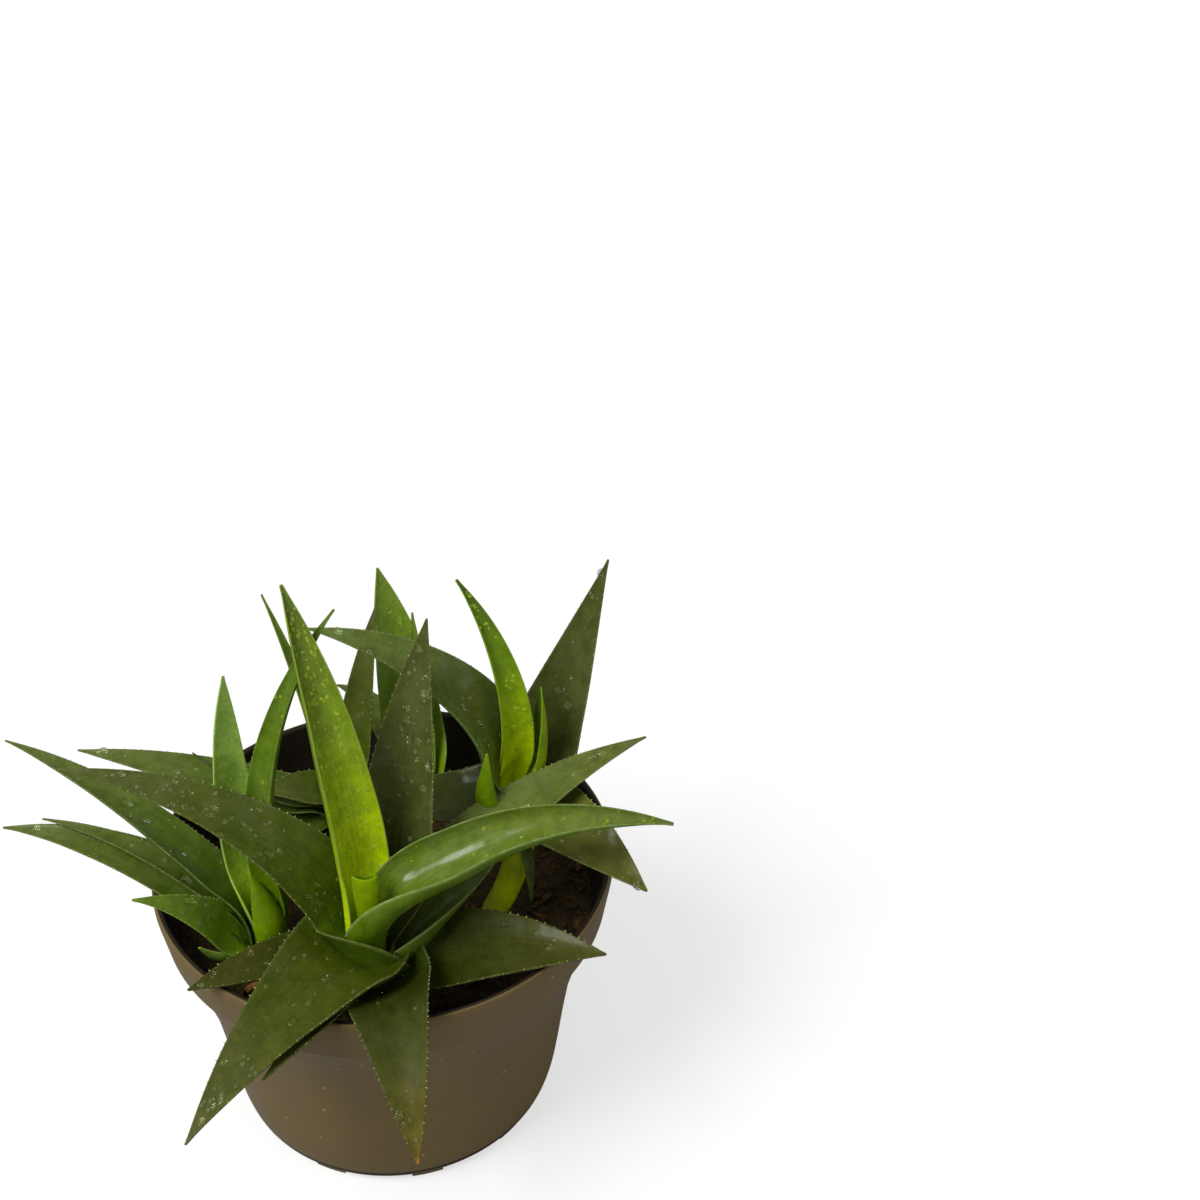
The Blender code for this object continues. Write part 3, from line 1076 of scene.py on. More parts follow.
class LeafSurface:
    """The upper face of a leaf as a formula of the distance along it and the share across it.

    Lengths are in millimetres.
    """

    SPINE_STEP = 0.5
    DIP_RANGE = (4.0, 42.0)
    MOST_WRAP = 2.7
    MARGIN_THICKNESS = 0.45
    SHEATH_THICKNESS = 1.8
    KEEL_ROUNDNESS = 2.2

    def __init__(self, leaf: Leaf) -> None:
        """Lay out the leaf's spine: up the stem as a sheath, then out along the blade.

        Args:
            leaf: The leaf's measures.
        """
        self.leaf = leaf
        count = round((leaf.length + leaf.sheath) / self.SPINE_STEP)
        self.distance = np.linspace(-leaf.sheath, leaf.length, count + 1)
        blade = self._blade_line()
        sheath = self._sheath_line()
        self.points = sheath + (blade - sheath) * leaf.opened(self.distance)[:, None]
        self.forward = unit(np.gradient(self.points, axis=0))

    def _blade_line(self) -> np.ndarray:
        """The blade's line from its seat to its tip, carried on straight below the seat.

        Returns:
            One point for each of the spine's distances.
        """
        leaf = self.leaf
        azimuth = math.radians(leaf.azimuth)
        seat = np.array(leaf.crown.value[:3]) + np.array([0, 0, leaf.seat_height])
        seat += leaf.SEAT_RADIUS * np.array([math.cos(azimuth), math.sin(azimuth), 0])
        step = self.distance[1] - self.distance[0]
        middle = self.distance[:-1] + step / 2
        travel = pointing(leaf.lift_at(middle), leaf.azimuth_at(middle)) * step
        points = np.concatenate([np.zeros((1, 3)), np.cumsum(travel, axis=0)])
        points += seat - read_rows(0.0, self.distance, points)
        fade = 1 - smoothstep(self.distance, *self.DIP_RANGE)
        points[:, 0] -= leaf.tuck * math.cos(azimuth) * fade
        points[:, 1] -= leaf.tuck * math.sin(azimuth) * fade
        points[:, 2] -= leaf.dip * fade
        return points

    def _sheath_line(self) -> np.ndarray:
        """A line up the stem's side, at the radius at which the leaf clasps what is inside it.

        Returns:
            One point for each of the spine's distances.
        """
        leaf = self.leaf
        azimuth = math.radians(leaf.azimuth + leaf.turn)
        x, y, _, lean_x, lean_y = (leaf.hub or leaf.crown).value
        z = leaf.crown.value[2]
        rise = self.distance + leaf.seat_height - leaf.sink
        line = np.empty((len(rise), 3))
        line[:, 0] = x + leaf.clasp * math.cos(azimuth) + lean_x * np.minimum(rise, 0)
        line[:, 1] = y + leaf.clasp * math.sin(azimuth) + lean_y * np.minimum(rise, 0)
        line[:, 2] = z + rise
        return line

    def axes(self, distance: np.ndarray) -> tuple[np.ndarray, np.ndarray, np.ndarray]:
        """The directions along, across and out of the upper face on the leaf's midline.

        Args:
            distance: Distances from the seat.

        Returns:
            Three arrays of unit vectors.
        """
        leaf = self.leaf
        forward = unit(read_rows(distance, self.distance, self.forward))
        azimuth = leaf.facing_at(distance)
        level = np.stack([-np.sin(azimuth), np.cos(azimuth), np.zeros_like(azimuth)], axis=-1)
        upward = unit(np.cross(forward, level))
        level = np.cross(upward, forward)
        roll = np.radians(leaf.roll * leaf.opened(distance))[..., None]
        across = level * np.cos(roll) + upward * np.sin(roll)
        return forward, -across, np.cross(forward, across)

    def section(self, distance: np.ndarray) -> tuple[np.ndarray, np.ndarray, np.ndarray]:
        """The arc that the leaf's section follows.

        Args:
            distance: Distances from the seat.

        Returns:
            The arc's radius, its half angle, and how far its middle lies below the spine.
        """
        leaf = self.leaf
        blade_angle = 2 * math.atan(2 * leaf.channel)
        chord = leaf.chord(distance)
        half_arc = chord / 2 * blade_angle / math.sin(blade_angle)
        base_angle = min(self.MOST_WRAP, float(leaf.chord(np.array(0.0))) / 2 / leaf.clasp)
        base_angle = max(base_angle, blade_angle)
        opened = leaf.opened(distance)
        angle = base_angle + (blade_angle - base_angle) * opened
        return half_arc / angle, angle, opened * leaf.channel * chord

    def place(self, distance: np.ndarray, across: np.ndarray) -> tuple[np.ndarray, ...]:
        """Find points on the upper face.

        Args:
            distance: Distances from the seat, in millimetres.
            across: Shares of the half width, from -1 to 1.

        Returns:
            The points in millimetres, and the directions out of the face, across it and along it.
        """
        forward, side, upward = self.axes(distance)
        radius, angle, depth = self.section(distance)
        turn = (angle * across)[..., None]
        radius = radius[..., None]
        points = read_rows(distance, self.distance, self.points) - upward * depth[..., None]
        points = points + side * radius * np.sin(turn) + upward * radius * (1 - np.cos(turn))
        normal = upward * np.cos(turn) - side * np.sin(turn)
        tangent = side * np.cos(turn) + upward * np.sin(turn)
        return points, normal, tangent, forward

    def wall(self, distance: np.ndarray, across: np.ndarray) -> np.ndarray:
        """The flesh's thickness below points on the upper face.

        Args:
            distance: Distances from the seat.
            across: Shares of the half width, from -1 to 1.

        Returns:
            The thicknesses, in millimetres.
        """
        leaf = self.leaf
        blade = leaf.thickness * leaf.chord(distance)
        fleshy = leaf.opened(distance)
        middle = self.SHEATH_THICKNESS * (1 - fleshy) + blade * fleshy
        keel = 1 - np.abs(across) ** self.KEEL_ROUNDNESS
        return self.MARGIN_THICKNESS + np.maximum(middle - self.MARGIN_THICKNESS, 0) * keel


class LeafBuilder:
    """Builds one leaf's piece: its fleshy blade and sheath, and the teeth along its margins.

    Lengths are in millimetres.
    """

    COLUMNS = 12
    LEAST_ROWS = 16
    ROW_LENGTH = 2.4
    WAVE_HEIGHT = 0.35
    WAVE_LENGTH = 17.0
    WAVES_ACROSS = 1.3
    WAVE_RANGE = (4, 24)
    FULL_WAVE_CHORD = 16
    SEED_STEP = 7.1
    FIRST_TOOTH = 0.8
    BARE_TIP = 1.5
    TOOTH_ROOT = 0.25
    TOOTH_LENGTH = 1.5
    TOOTH_SIZES = (0.7, 1.15)
    TOOTH_GAPS = (0.7, 1.35)
    FULL_TOOTH_CHORD = 6

    def __init__(self, tooth: Shape, skins: dict[Skin, tuple[bpy.types.Material, ...]]) -> None:
        """Keep what all leaves share.

        Args:
            tooth: The shape of one tooth, one unit high.
            skins: Each finish's materials.
        """
        self.tooth = tooth
        self.skins = skins

    def build(self, leaf: Leaf, seed: int) -> bpy.types.Object:
        """Make the leaf.

        Args:
            leaf: The leaf's measures.
            seed: The seed of its own unevenness.

        Returns:
            The finished piece.
        """
        surface = LeafSurface(leaf)
        item = self._sheet(leaf, surface, seed)
        dress(item, self.skins[leaf.skin])
        self._thicken(item)
        teeth = self._teeth(leaf, surface, np.random.default_rng(seed))
        dress(teeth, self.skins[leaf.skin][3:])
        deselect_all()
        teeth.select_set(True)
        item.select_set(True)
        bpy.context.view_layer.objects.active = item
        bpy.ops.object.join()
        return item

    def _sheet(self, leaf: Leaf, surface: LeafSurface, seed: int) -> bpy.types.Object:
        """Lay a grid over the leaf's upper face.

        Args:
            leaf: The leaf's measures.
            surface: Its upper face.
            seed: The seed of its waves.

        Returns:
            The sheet, with its thickness in a group of its points.
        """
        whole = leaf.length + leaf.sheath
        rows = max(self.LEAST_ROWS, round(whole / self.ROW_LENGTH))
        deselect_all()
        bpy.ops.mesh.primitive_grid_add(x_subdivisions=self.COLUMNS, y_subdivisions=rows, size=2)
        item = take_primitive(f"skin_{leaf.name}")
        flat = vertex_array(item.data)
        across = flat[:, 0]
        distance = -leaf.sheath + (flat[:, 1] + 1) / 2 * whole
        points, normal, _, _ = surface.place(distance, across)
        wave = np.empty(len(distance))
        for number, (share, along) in enumerate(zip(across, distance)):
            spot = (share * self.WAVES_ACROSS + seed * self.SEED_STEP, along / self.WAVE_LENGTH, 0.5)
            wave[number] = noise.noise(Vector(spot))
        narrowed = np.clip(leaf.chord(distance) / self.FULL_WAVE_CHORD, 0.1, 1)
        amount = self.WAVE_HEIGHT * smoothstep(distance, *self.WAVE_RANGE) * narrowed
        points = points + normal * (wave * amount)[:, None]
        wall = item.vertex_groups.new(name="wall")
        thickness = surface.wall(distance, across)
        top = float(thickness.max())
        for index, value in enumerate(thickness / top):
            wall.add([index], float(value), "REPLACE")
        item["wall_top"] = top
        set_vertices(item.data, points * MM)
        return item

    def _thicken(self, item: bpy.types.Object) -> None:
        """Give the sheet its flesh and round it off.

        Args:
            item: The sheet.
        """
        flesh = item.modifiers.new("flesh", "SOLIDIFY")
        flesh.thickness = item["wall_top"] * MM
        flesh.offset = -1
        flesh.vertex_group = "wall"
        flesh.use_quality_normals = True
        flesh.material_offset = 1
        flesh.material_offset_rim = 2
        soften = item.modifiers.new("soften", "SUBSURF")
        soften.levels = 1
        soften.render_levels = 1
        apply_modifiers(item)
        del item["wall_top"]
        item.vertex_groups.clear()
        item.data.shade_smooth()

    def _teeth(self, leaf: Leaf, surface: LeafSurface, rng: np.random.Generator) -> bpy.types.Object:
        """Set teeth along both margins, smaller towards the tip.

        Args:
            leaf: The leaf's measures.
            surface: Its upper face.
            rng: What varies their sizes and gaps.

        Returns:
            The teeth, as one object.
        """
        gap, height = leaf.teeth.value
        teeth = Scatter()
        for side in (-1.0, 1.0):
            distance = leaf.reach * self.FIRST_TOOTH
            while distance < leaf.length - self.BARE_TIP:
                narrowed = float(np.clip(leaf.chord(np.array(distance)) / self.FULL_TOOTH_CHORD, 0.35, 1))
                size = height * rng.uniform(*self.TOOTH_SIZES) * narrowed
                point, _, tangent, forward = surface.place(np.array([distance]), np.array([side]))
                outward = tangent[0] * side
                base = point[0] - outward * self.TOOTH_ROOT
                scale = (size * MM, size * MM * self.TOOTH_LENGTH, (size + self.TOOTH_ROOT) * MM)
                teeth.add(self.tooth, stand_on(base * MM, outward, forward[0], scale))
                distance += gap * rng.uniform(*self.TOOTH_GAPS)
        return teeth.build(f"teeth_{leaf.name}", smooth=False)


def make_tooth() -> Shape:
    """A small horny tooth, one unit high, hooked towards the leaf's tip.

    Returns:
        Its shape.
    """
    hook = 0.35
    deselect_all()
    bpy.ops.mesh.primitive_cone_add(
        vertices=5, radius1=0.42, radius2=0, depth=1, end_fill_type="NOTHING", location=(0, 0, 0.5)
    )
    item = take_primitive("tooth_pattern")
    settle(item)
    select_points(item, lambda place: place.z > 0.9)
    bpy.ops.transform.translate(value=(0, hook, 0))
    leave_edit()
    return shape_of(item)


def make_drop() -> Shape:
    """A drop of water, one unit in radius, resting on its flat side.

    Returns:
        Its shape.
    """
    cut_height = -0.25
    flatness = 0.56
    deselect_all()
    bpy.ops.mesh.primitive_uv_sphere_add(segments=10, ring_count=7, radius=1)
    item = take_primitive("drop_pattern")
    edit_all()
    bpy.ops.mesh.bisect(plane_co=(0, 0, cut_height), plane_no=(0, 0, 1), use_fill=True, clear_inner=True)
    bpy.ops.mesh.select_all(action="SELECT")
    bpy.ops.transform.resize(value=(1, 1, flatness))
    leave_edit()
    return shape_of(item)


@dataclass
class RolledLeaf:
    """The heart's youngest leaf, still a short rolled tube that is open at its blunt top. In millimetres."""

    foot: Measures = (-5.8, -41.5, 98.0)
    head: Measures = (-6.6, -42.2, 128.5)
    radius: float = 3.5
    wall: float = 0.8
    rings: int = 16
    sides: int = 36
    cup_depth: float = 4.0
    lip_rounding: float = 0.3
    foot_share: float = 0.82
    swelling: float = 0.24
    gathering: float = 0.05
    widening: float = 1.04
    flatness: float = 0.92
    flattening: float = 0.5
    lip_waves: Measures = (0.5, 0.4, 0.3)

    def build(self, materials: Sequence[bpy.types.Material]) -> bpy.types.Object:
        """Make the rolled leaf.

        Args:
            materials: Its skin's finishes.

        Returns:
            The finished piece.
        """
        foot, head = Vector(self.foot), Vector(self.head)
        length = (head - foot).length
        step = length / self.rings * MM
        deselect_all()
        bpy.ops.mesh.primitive_circle_add(vertices=self.sides, radius=self.radius * MM, fill_type="NGON")
        item = take_primitive("skin_main_bud")
        edit_all()
        for _ in range(self.rings):
            extrude(step)
        inward = (self.radius - self.wall) / self.radius
        bpy.ops.mesh.inset(thickness=self.wall * MM)
        extrude(-self.cup_depth * MM)
        bpy.ops.transform.resize(value=(inward, inward, 1), center_override=(0, 0, length * MM))
        leave_edit(turn_outwards=True)
        self._shape(item, length)
        turn = Vector((0, 0, 1)).rotation_difference(head - foot).to_matrix().to_4x4()
        item.data.transform(Matrix.Translation(foot * MM) @ turn)
        round_off = item.modifiers.new("round_off", "BEVEL")
        round_off.width = self.lip_rounding * MM
        round_off.segments = 2
        round_off.angle_limit = math.radians(40)
        apply_modifiers(item)
        item.data.shade_smooth()
        dress(item, materials[1:2])
        return item

    def _shape(self, item: bpy.types.Object, length: float) -> None:
        """Swell the tube a little towards its top, and lower the top's front lip.

        Args:
            item: The tube, standing on the origin.
            length: Its length in millimetres.
        """
        points = vertex_array(item.data) / MM
        share = points[:, 2] / length
        turn = np.arctan2(points[:, 1], points[:, 0])
        swell = self.foot_share + self.swelling * smoothstep(share, 0.1, 0.85)
        swell = swell - self.gathering * smoothstep(share, 0.9, 1.0)
        fold = 1 + 0.05 * np.cos(2 * turn + 0.6) + 0.04 * np.cos(3 * turn + 2 * share)
        points[:, 0] *= swell * fold * self.widening
        points[:, 1] *= swell * fold * (self.flatness - self.flattening * smoothstep(share, 0.3, 0.9))
        double, front, side = self.lip_waves
        lip = double * np.cos(2 * turn) - front * np.sin(turn) - side * np.cos(turn)
        points[:, 2] += smoothstep(share, 0.8, 1.0) * lip
        set_vertices(item.data, points * MM)


@dataclass
class Foliage:
    """All the leaves, and the water that lies on them. Drops' sizes are their radii in millimetres."""

    leaves: tuple[Leaf, ...]
    drop_sizes: tuple[float, float] = (0.35, 0.8)
    big_drop_share: float = 0.3
    big_drop_sizes: tuple[float, float] = (0.8, 1.6)
    wet_length: tuple[float, float] = (0.1, 0.94)
    wet_width: tuple[float, float] = (-0.85, 0.85)
    stretch_across: tuple[float, float] = (0.85, 1.1)
    stretch_along: tuple[float, float] = (0.9, 1.25)

    def build(self) -> list[bpy.types.Object]:
        """Make every leaf and its drops.

        Returns:
            The pieces.
        """
        marks = leaf_marks_group()
        skins = {skin: skin.value.build(marks) for skin in Skin}
        builder = LeafBuilder(make_tooth(), skins)
        drop = make_drop()
        water = Water().build()
        dew_glint, bright_dew_glint = DEW.build(), BRIGHT_DEW.build()
        bud = RolledLeaf().build(skins[Skin.HEART])
        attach(bud, BODY)
        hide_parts("leaf_main_bud")
        pieces = [bud]
        for number, leaf in enumerate(self.leaves):
            piece = builder.build(leaf, SEED + number)
            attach(piece, BODY)
            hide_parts(f"leaf_{leaf.name}")
            pieces.append(piece)
            rng = np.random.default_rng(SEED * 100 + number)
            beads = bright_dew_glint if leaf.teeth is Teeth.FINE else dew_glint
            for wet in self._water(leaf, drop, (beads, water), rng):
                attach(wet, BODY)
                pieces.append(wet)
            LOG.info("leaf %s: %d faces", leaf.name, len(piece.data.polygons))
        return pieces

    def _water(
        self, leaf: Leaf, drop: Shape, finishes: tuple[bpy.types.Material, ...], rng: np.random.Generator
    ) -> list[bpy.types.Object]:
        """Scatter small beads and big drops over a leaf's upper face.

        Args:
            leaf: The leaf's measures.
            drop: The shape of a drop.
            finishes: The finishes of the small beads and of the big drops.
            rng: What places them.

        Returns:
            The beads and the drops, where there are any.
        """
        surface = LeafSurface(leaf)
        scattered = (Scatter(), Scatter())
        for _ in range(leaf.drops):
            distance = rng.uniform(*self.wet_length) * leaf.length
            across = rng.uniform(*self.wet_width)
            big = rng.random() < self.big_drop_share and leaf.teeth is not Teeth.FINE
            size = rng.uniform(*(self.big_drop_sizes if big else self.drop_sizes)) * MM
            point, normal, _, forward = surface.place(np.array([distance]), np.array([across]))
            spread = (size * rng.uniform(*self.stretch_across), size * rng.uniform(*self.stretch_along), size)
            scattered[int(big)].add(drop, stand_on(point[0] * MM, normal[0], forward[0], spread))
        pieces = []
        for kind, gathered, finish in zip(("beads", "drops"), scattered, finishes):
            if gathered.count:
                item = gathered.build(f"{kind}_{leaf.name}", smooth=True)
                dress(item, [finish])
                pieces.append(item)
        return pieces


LEAVES = (
    Leaf("main_tall", Crown.MAIN, 120, 89, 49, -3, 109, 15.6, -7, 8.5, 2.9, 0.85, Skin.LIME, Age.YOUNG, 3.8,
         3, Crown.HEART, turn=-7, channel=0.38, thickness=0.25, teeth=Teeth.FINE, drops=190),
    Leaf("main_right_young", Crown.HEART, 6.2, 102, -21.9, -6.4, 109.5, 17.5, 21.8, 2, 1.81, 0.49,
         Skin.YOUNG, Age.MIDDLE, 4.3, 7.2, turn=-41, dip=-4.5, opening=(0.9, 38.3), base_share=1.0,
         channel=0.47, thickness=0.26, teeth=Teeth.FINE, drops=24),
    Leaf("main_back", Crown.MAIN, 71, 67, 59, -11, 98, 26.5, 0, 1, 2.25, 0.8, Skin.GREY, Age.OLD, 5, 3,
         Crown.HEART, turn=15, base_share=0.7, drops=60),
    Leaf("main_right_back", Crown.MAIN, 32, 55, 2, -12, 105, 26.5, 6, -0.5, 1.75, 0.55, Skin.WASHED,
         Age.MIDDLE, 7, 16, Crown.HEART, turn=-54, dip=12.5, opening=(-8, 34.7), base_share=1.18,
         teeth=Teeth.SMALL, drops=34),
    Leaf("main_left", Crown.MAIN, 164, 75, 7, 9, 113, 28, -28, 0.5, 1.25, 0.75, Skin.OLIVE, Age.OLD, 9, 8,
         Crown.HEART, turn=90, opening=(-7.7, 16.6), base_share=1.3, drops=70),
    Leaf("main_front_left", Crown.MAIN, 227.6, 83.3, -24.6, 4.6, 88.4, 39.4, -1.9, -1.6, 1.24, 0.29,
         Skin.BRONZE, Age.OLD, 3.9, 6.9, Crown.HEART, turn=-14.5, dip=-4.9, tuck=-1.9, opening=(2.4, 12.4),
         base_share=1.13, drops=34),
    Leaf("main_front", Crown.MAIN, 269.4, 41.7, -81, 12.5, 84.5, 31.5, 9, -3.6, 1.5, 1.26,
         Skin.DARK_DRY_TIP, Age.OLD, 8.6, 3.9, Crown.HEART, turn=23.7, dip=7.5, tuck=2.7,
         opening=(-3.4, 20), base_share=0.96, teeth=Teeth.SMALL, drops=12),
    Leaf("main_right_low", Crown.MAIN, 343, 22, -1, -5, 68, 31, 14, -5.5, 1.9, 1.2, Skin.DARK, Age.OLD, 11,
         0, base_share=0.7, drops=6),
    Leaf("main_left_low", Crown.MAIN, 190.3, 11.8, -0.7, 16.6, 56.5, 18.9, -2.4, 0.7, 2.69, 0.92, Skin.DARK,
         Age.MIDDLE, 12, 0, dip=-0.6, drops=14),
    Leaf("main_under", Crown.MAIN, 246, 25.1, -14, -21.6, 60.7, 16.9, 4.8, -1.8, 1.64, 0.91, Skin.DARK,
         Age.MIDDLE, 12, 0, dip=-0.3, tuck=6.6),
    Leaf("left_upright", Crown.LEFT, 119, 70, 110, -13, 92, 13.5, -2, 7, 2.25, 1, Skin.PALE, Age.YOUNG, 3.5,
         4, channel=0.15, thickness=0.35, teeth=Teeth.FINE, drops=12),
    Leaf("left_curved", Crown.LEFT, 45, 105, 33, -7, 113, 10.5, 10, 3.5, 2.2, 1.15, Skin.LEEK, Age.MIDDLE,
         4, 3, opening=(-9, 9), channel=0.2, thickness=0.4, teeth=Teeth.FINE, drops=8),
    Leaf("left_long", Crown.LEFT, 144, 46, -4, -1, 105, 15.5, 9, 5.5, 2.05, 0.75, Skin.GREEN, Age.MIDDLE,
         5.5, 4, teeth=Teeth.SMALL, drops=26),
    Leaf("left_outer_upper", Crown.LEFT, 152, 41, -5, 3, 78, 11, 2, 1.5, 1.8, 0.9, Skin.GREEN, Age.OLD, 6.5,
         3, teeth=Teeth.SMALL, drops=8),
    Leaf("left_outer", Crown.LEFT, 152, 37, -8, 10, 90, 19, -14, -2, 1.9, 1.05, Skin.GREEN, Age.OLD, 8, 2,
         drops=30),
    Leaf("left_low", Crown.LEFT, 203.5, 63, 17, -13, 51, 21.5, -39, -8, 1.15, 1.7, Skin.FRESH, Age.YOUNG,
         5.5, 0, base_share=0.96, teeth=Teeth.SMALL, drops=12),
    Leaf("left_bud", Crown.LEFT, 300, 110, 128, 0, 23, 11.5, 0, -2, 1.8, 1, Skin.HEART, Age.YOUNG, 4.6, 1,
         sheath=5, teeth=Teeth.BABY),
    Leaf("left_short", Crown.LEFT, 212, 14, 62, 0, 24.5, 9.5, 48, -8, 1.8, 1, Skin.PALE, Age.YOUNG, 8, 0,
         sheath=5, teeth=Teeth.BABY),
    Leaf("back_left_upright", Crown.BACK_LEFT, 139, 82, 64, 3, 76, 6, -9, 6, 2.15, 0.9, Skin.FRESH,
         Age.YOUNG, 3, 4, channel=0.15, thickness=0.35, teeth=Teeth.SMALL),
    Leaf("back_left_dark", Crown.BACK_LEFT, 59, 77, 62, -6, 67, 13, 8, 4, 2.2, 1, Skin.OLIVE, Age.OLD, 4, 3,
         teeth=Teeth.SMALL, drops=5),
    Leaf("back_left_bud", Crown.BACK_LEFT, 76, 67, 32, -15, 44, 12, 5, 0.5, 2.15, 1.05, Skin.FRESH,
         Age.MIDDLE, 5, 2, teeth=Teeth.SMALL),
    Leaf("back_left_side", Crown.BACK_LEFT, 188, 21, 54, -2, 55, 8, 3, 0.5, 2.1, 1, Skin.GREEN, Age.MIDDLE,
         6, 2, teeth=Teeth.SMALL),
    Leaf("back_left_short", Crown.BACK_LEFT, 192, 37, -10, -5, 24, 18, -7, 7.5, 1.95, 1, Skin.OLIVE,
         Age.OLD, 5, 5),
    Leaf("back_left_lower", Crown.BACK_LEFT, 195, 5, -20, 5, 30, 15, -9, -3.5, 1.7, 1, Skin.OLIVE, Age.OLD,
         8, 0),
    Leaf("back_left_long", Crown.BACK_LEFT, 174, 22, -1, -13, 89, 16, -19, 0, 2.25, 1.3, Skin.GREEN,
         Age.OLD, 7, 2, drops=26),
    Leaf("back_tall", Crown.BACK, 101, 73, 50, 9, 76, 22.5, 8, 2.5, 2.9, 1, Skin.FRESH, Age.YOUNG, 4, 2,
         channel=0.15, thickness=0.3, teeth=Teeth.SMALL, drops=20),
    Leaf("back_bud", Crown.BACK, 90, 78, 71, 2, 60, 10, 0, 4, 2.1, 1, Skin.FRESH, Age.YOUNG, 3, 3,
         teeth=Teeth.SMALL),
    Leaf("back_outer", Crown.BACK, 107, 41, -20, 23, 61, 16.5, -7, -2, 1.9, 1, Skin.OLIVE, Age.OLD, 7, 0,
         drops=10),
    Leaf("right_tall", Crown.RIGHT, 124, 118, 34, 7, 83, 11, -21, -1, 2.35, 0.9, Skin.BACKLIT_GLOW, Age.YOUNG,
         4.5, 1, channel=0.25, thickness=0.3, teeth=Teeth.FINE, drops=40),
    Leaf("right_sheath", Crown.RIGHT, 21, 84, 82, 25, 39.5, 14, -32, 0, 2.9, 1.05, Skin.BACKLIT_GLOW, Age.YOUNG,
         4.2, 4, base_share=0.95, teeth=Teeth.BABY),
    Leaf("right_arching", Crown.RIGHT, 175.3, 122.8, -3, -17.6, 99.5, 24.5, -28, 0.5, 1.63, 0.6,
         Skin.SHINING, Age.MIDDLE, 5.5, 2, teeth=Teeth.SMALL, drops=30),
    Leaf("right_back", Crown.RIGHT, 46.2, 54.6, 64.5, -9.8, 80, 30.5, 18.5, 0, 1.1, 1, Skin.GREY, Age.OLD,
         6.5, 2, drops=22),
    Leaf("right_bud", Crown.RIGHT, 217, 37, 116, 41, 38, 10.5, 0, -10, 2.15, 1, Skin.HEART, Age.YOUNG, 5.5,
         0, sheath=5, teeth=Teeth.BABY),
    Leaf("right_inner", Crown.RIGHT, 170, 8, -12, 6, 46, 24, -14, -3.5, 1.9, 1.1, Skin.GREY, Age.OLD, 7, 1,
         sheath=6, drops=8),
    Leaf("right_drooping", Crown.RIGHT, 300, 35, -28, 16, 56, 25.5, 16, -0.5, 2, 0.6, Skin.DUSKY, Age.OLD,
         7.5, 2, drops=20),
    Leaf("right_small", Crown.RIGHT, 279.4, 15.4, -79, -13, 27, 4, 0, -11, 2.4, 0.46, Skin.GREEN, Age.OLD,
         6, 0, sheath=5, teeth=Teeth.BABY),
)


class StemLine(Enum):
    """Each stem's axis, from the soil to its head, in millimetres."""

    MAIN = ((-3, -38, 70), (-3, -38, 78), (-3, -38, 88), (-3, -38, 96))
    LEFT = ((-39, -21, 70), (-39, -21, 76), (-39, -21, 82), (-39, -21, 87))
    BACK_LEFT = ((-13, 33, 70), (-13, 33, 78), (-12.8, 33.3, 90), (-12.6, 33.5, 100))
    BACK = ((15, 37, 70), (15, 37, 78), (15, 37, 90), (15, 37, 100))
    RIGHT = ((31.5, -16, 68), (32, -16, 80), (39.5, -10, 88), (46, -2, 103), (45, 3, 114), (44, 3.5, 117))


@dataclass
class Stem:
    """A leafy shoot's stem, with the ring scars of the leaves it has shed. Sizes are in millimetres."""

    line: StemLine
    THICK_HEAD: ClassVar[float] = 5.0

    foot_radius: float = 4.0
    head_radius: float = 3.6
    rings: int = 24
    sides: int = 24
    scar_gap: float = 4.5
    scar_depth: float = 0.25
    flute_depth: float = 0.03
    flutes: int = 3
    flute_twist: float = 9.0
    smoothings: int = 3

    def build(self, material: bpy.types.Material) -> bpy.types.Object:
        """Make the stem.

        Args:
            material: Its finish.

        Returns:
            The finished piece.
        """
        axis = self._smooth_axis()
        deselect_all()
        bpy.ops.mesh.primitive_circle_add(vertices=self.sides, radius=1, fill_type="NGON")
        item = take_primitive(f"shoot_{self.line.name.lower()}")
        edit_all()
        for _ in range(self.rings):
            extrude(1)
        leave_edit(turn_outwards=True)
        flat = vertex_array(item.data)
        share = flat[:, 2] / self.rings
        stations = np.linspace(0, 1, len(axis))
        forward = unit(read_rows(share, stations, np.gradient(axis, axis=0)))
        side = unit(np.cross(np.array([0.0, 1.0, 0.0]), forward))
        other = np.cross(forward, side)
        length = float(np.linalg.norm(np.diff(axis, axis=0), axis=1).sum())
        radius = self.foot_radius + (self.head_radius - self.foot_radius) * share
        scar = np.sqrt(np.abs(np.sin(math.pi * share * length / self.scar_gap)))
        radius = radius - self.scar_depth * (1 - scar)
        turn = np.arctan2(flat[:, 1], flat[:, 0])
        radius = radius * (1 + self.flute_depth * np.sin(self.flutes * turn + self.flute_twist * share))
        ring = (side * flat[:, :1] + other * flat[:, 1:2]) * radius[:, None]
        points = read_rows(share, stations, axis) + ring
        set_vertices(item.data, points * MM)
        item.data.shade_smooth()
        dress(item, [material])
        return item

    def _smooth_axis(self) -> np.ndarray:
        """Round off the corners of the axis.

        Returns:
            The axis, as one point a row.
        """
        points = np.array(self.line.value, dtype=float)
        for _ in range(self.smoothings):
            near = points[:-1] * 0.75 + points[1:] * 0.25
            far = points[:-1] * 0.25 + points[1:] * 0.75
            middle = np.stack([near, far], axis=1).reshape(-1, 3)
            points = np.concatenate([points[:1], middle, points[-1:]])
        return points


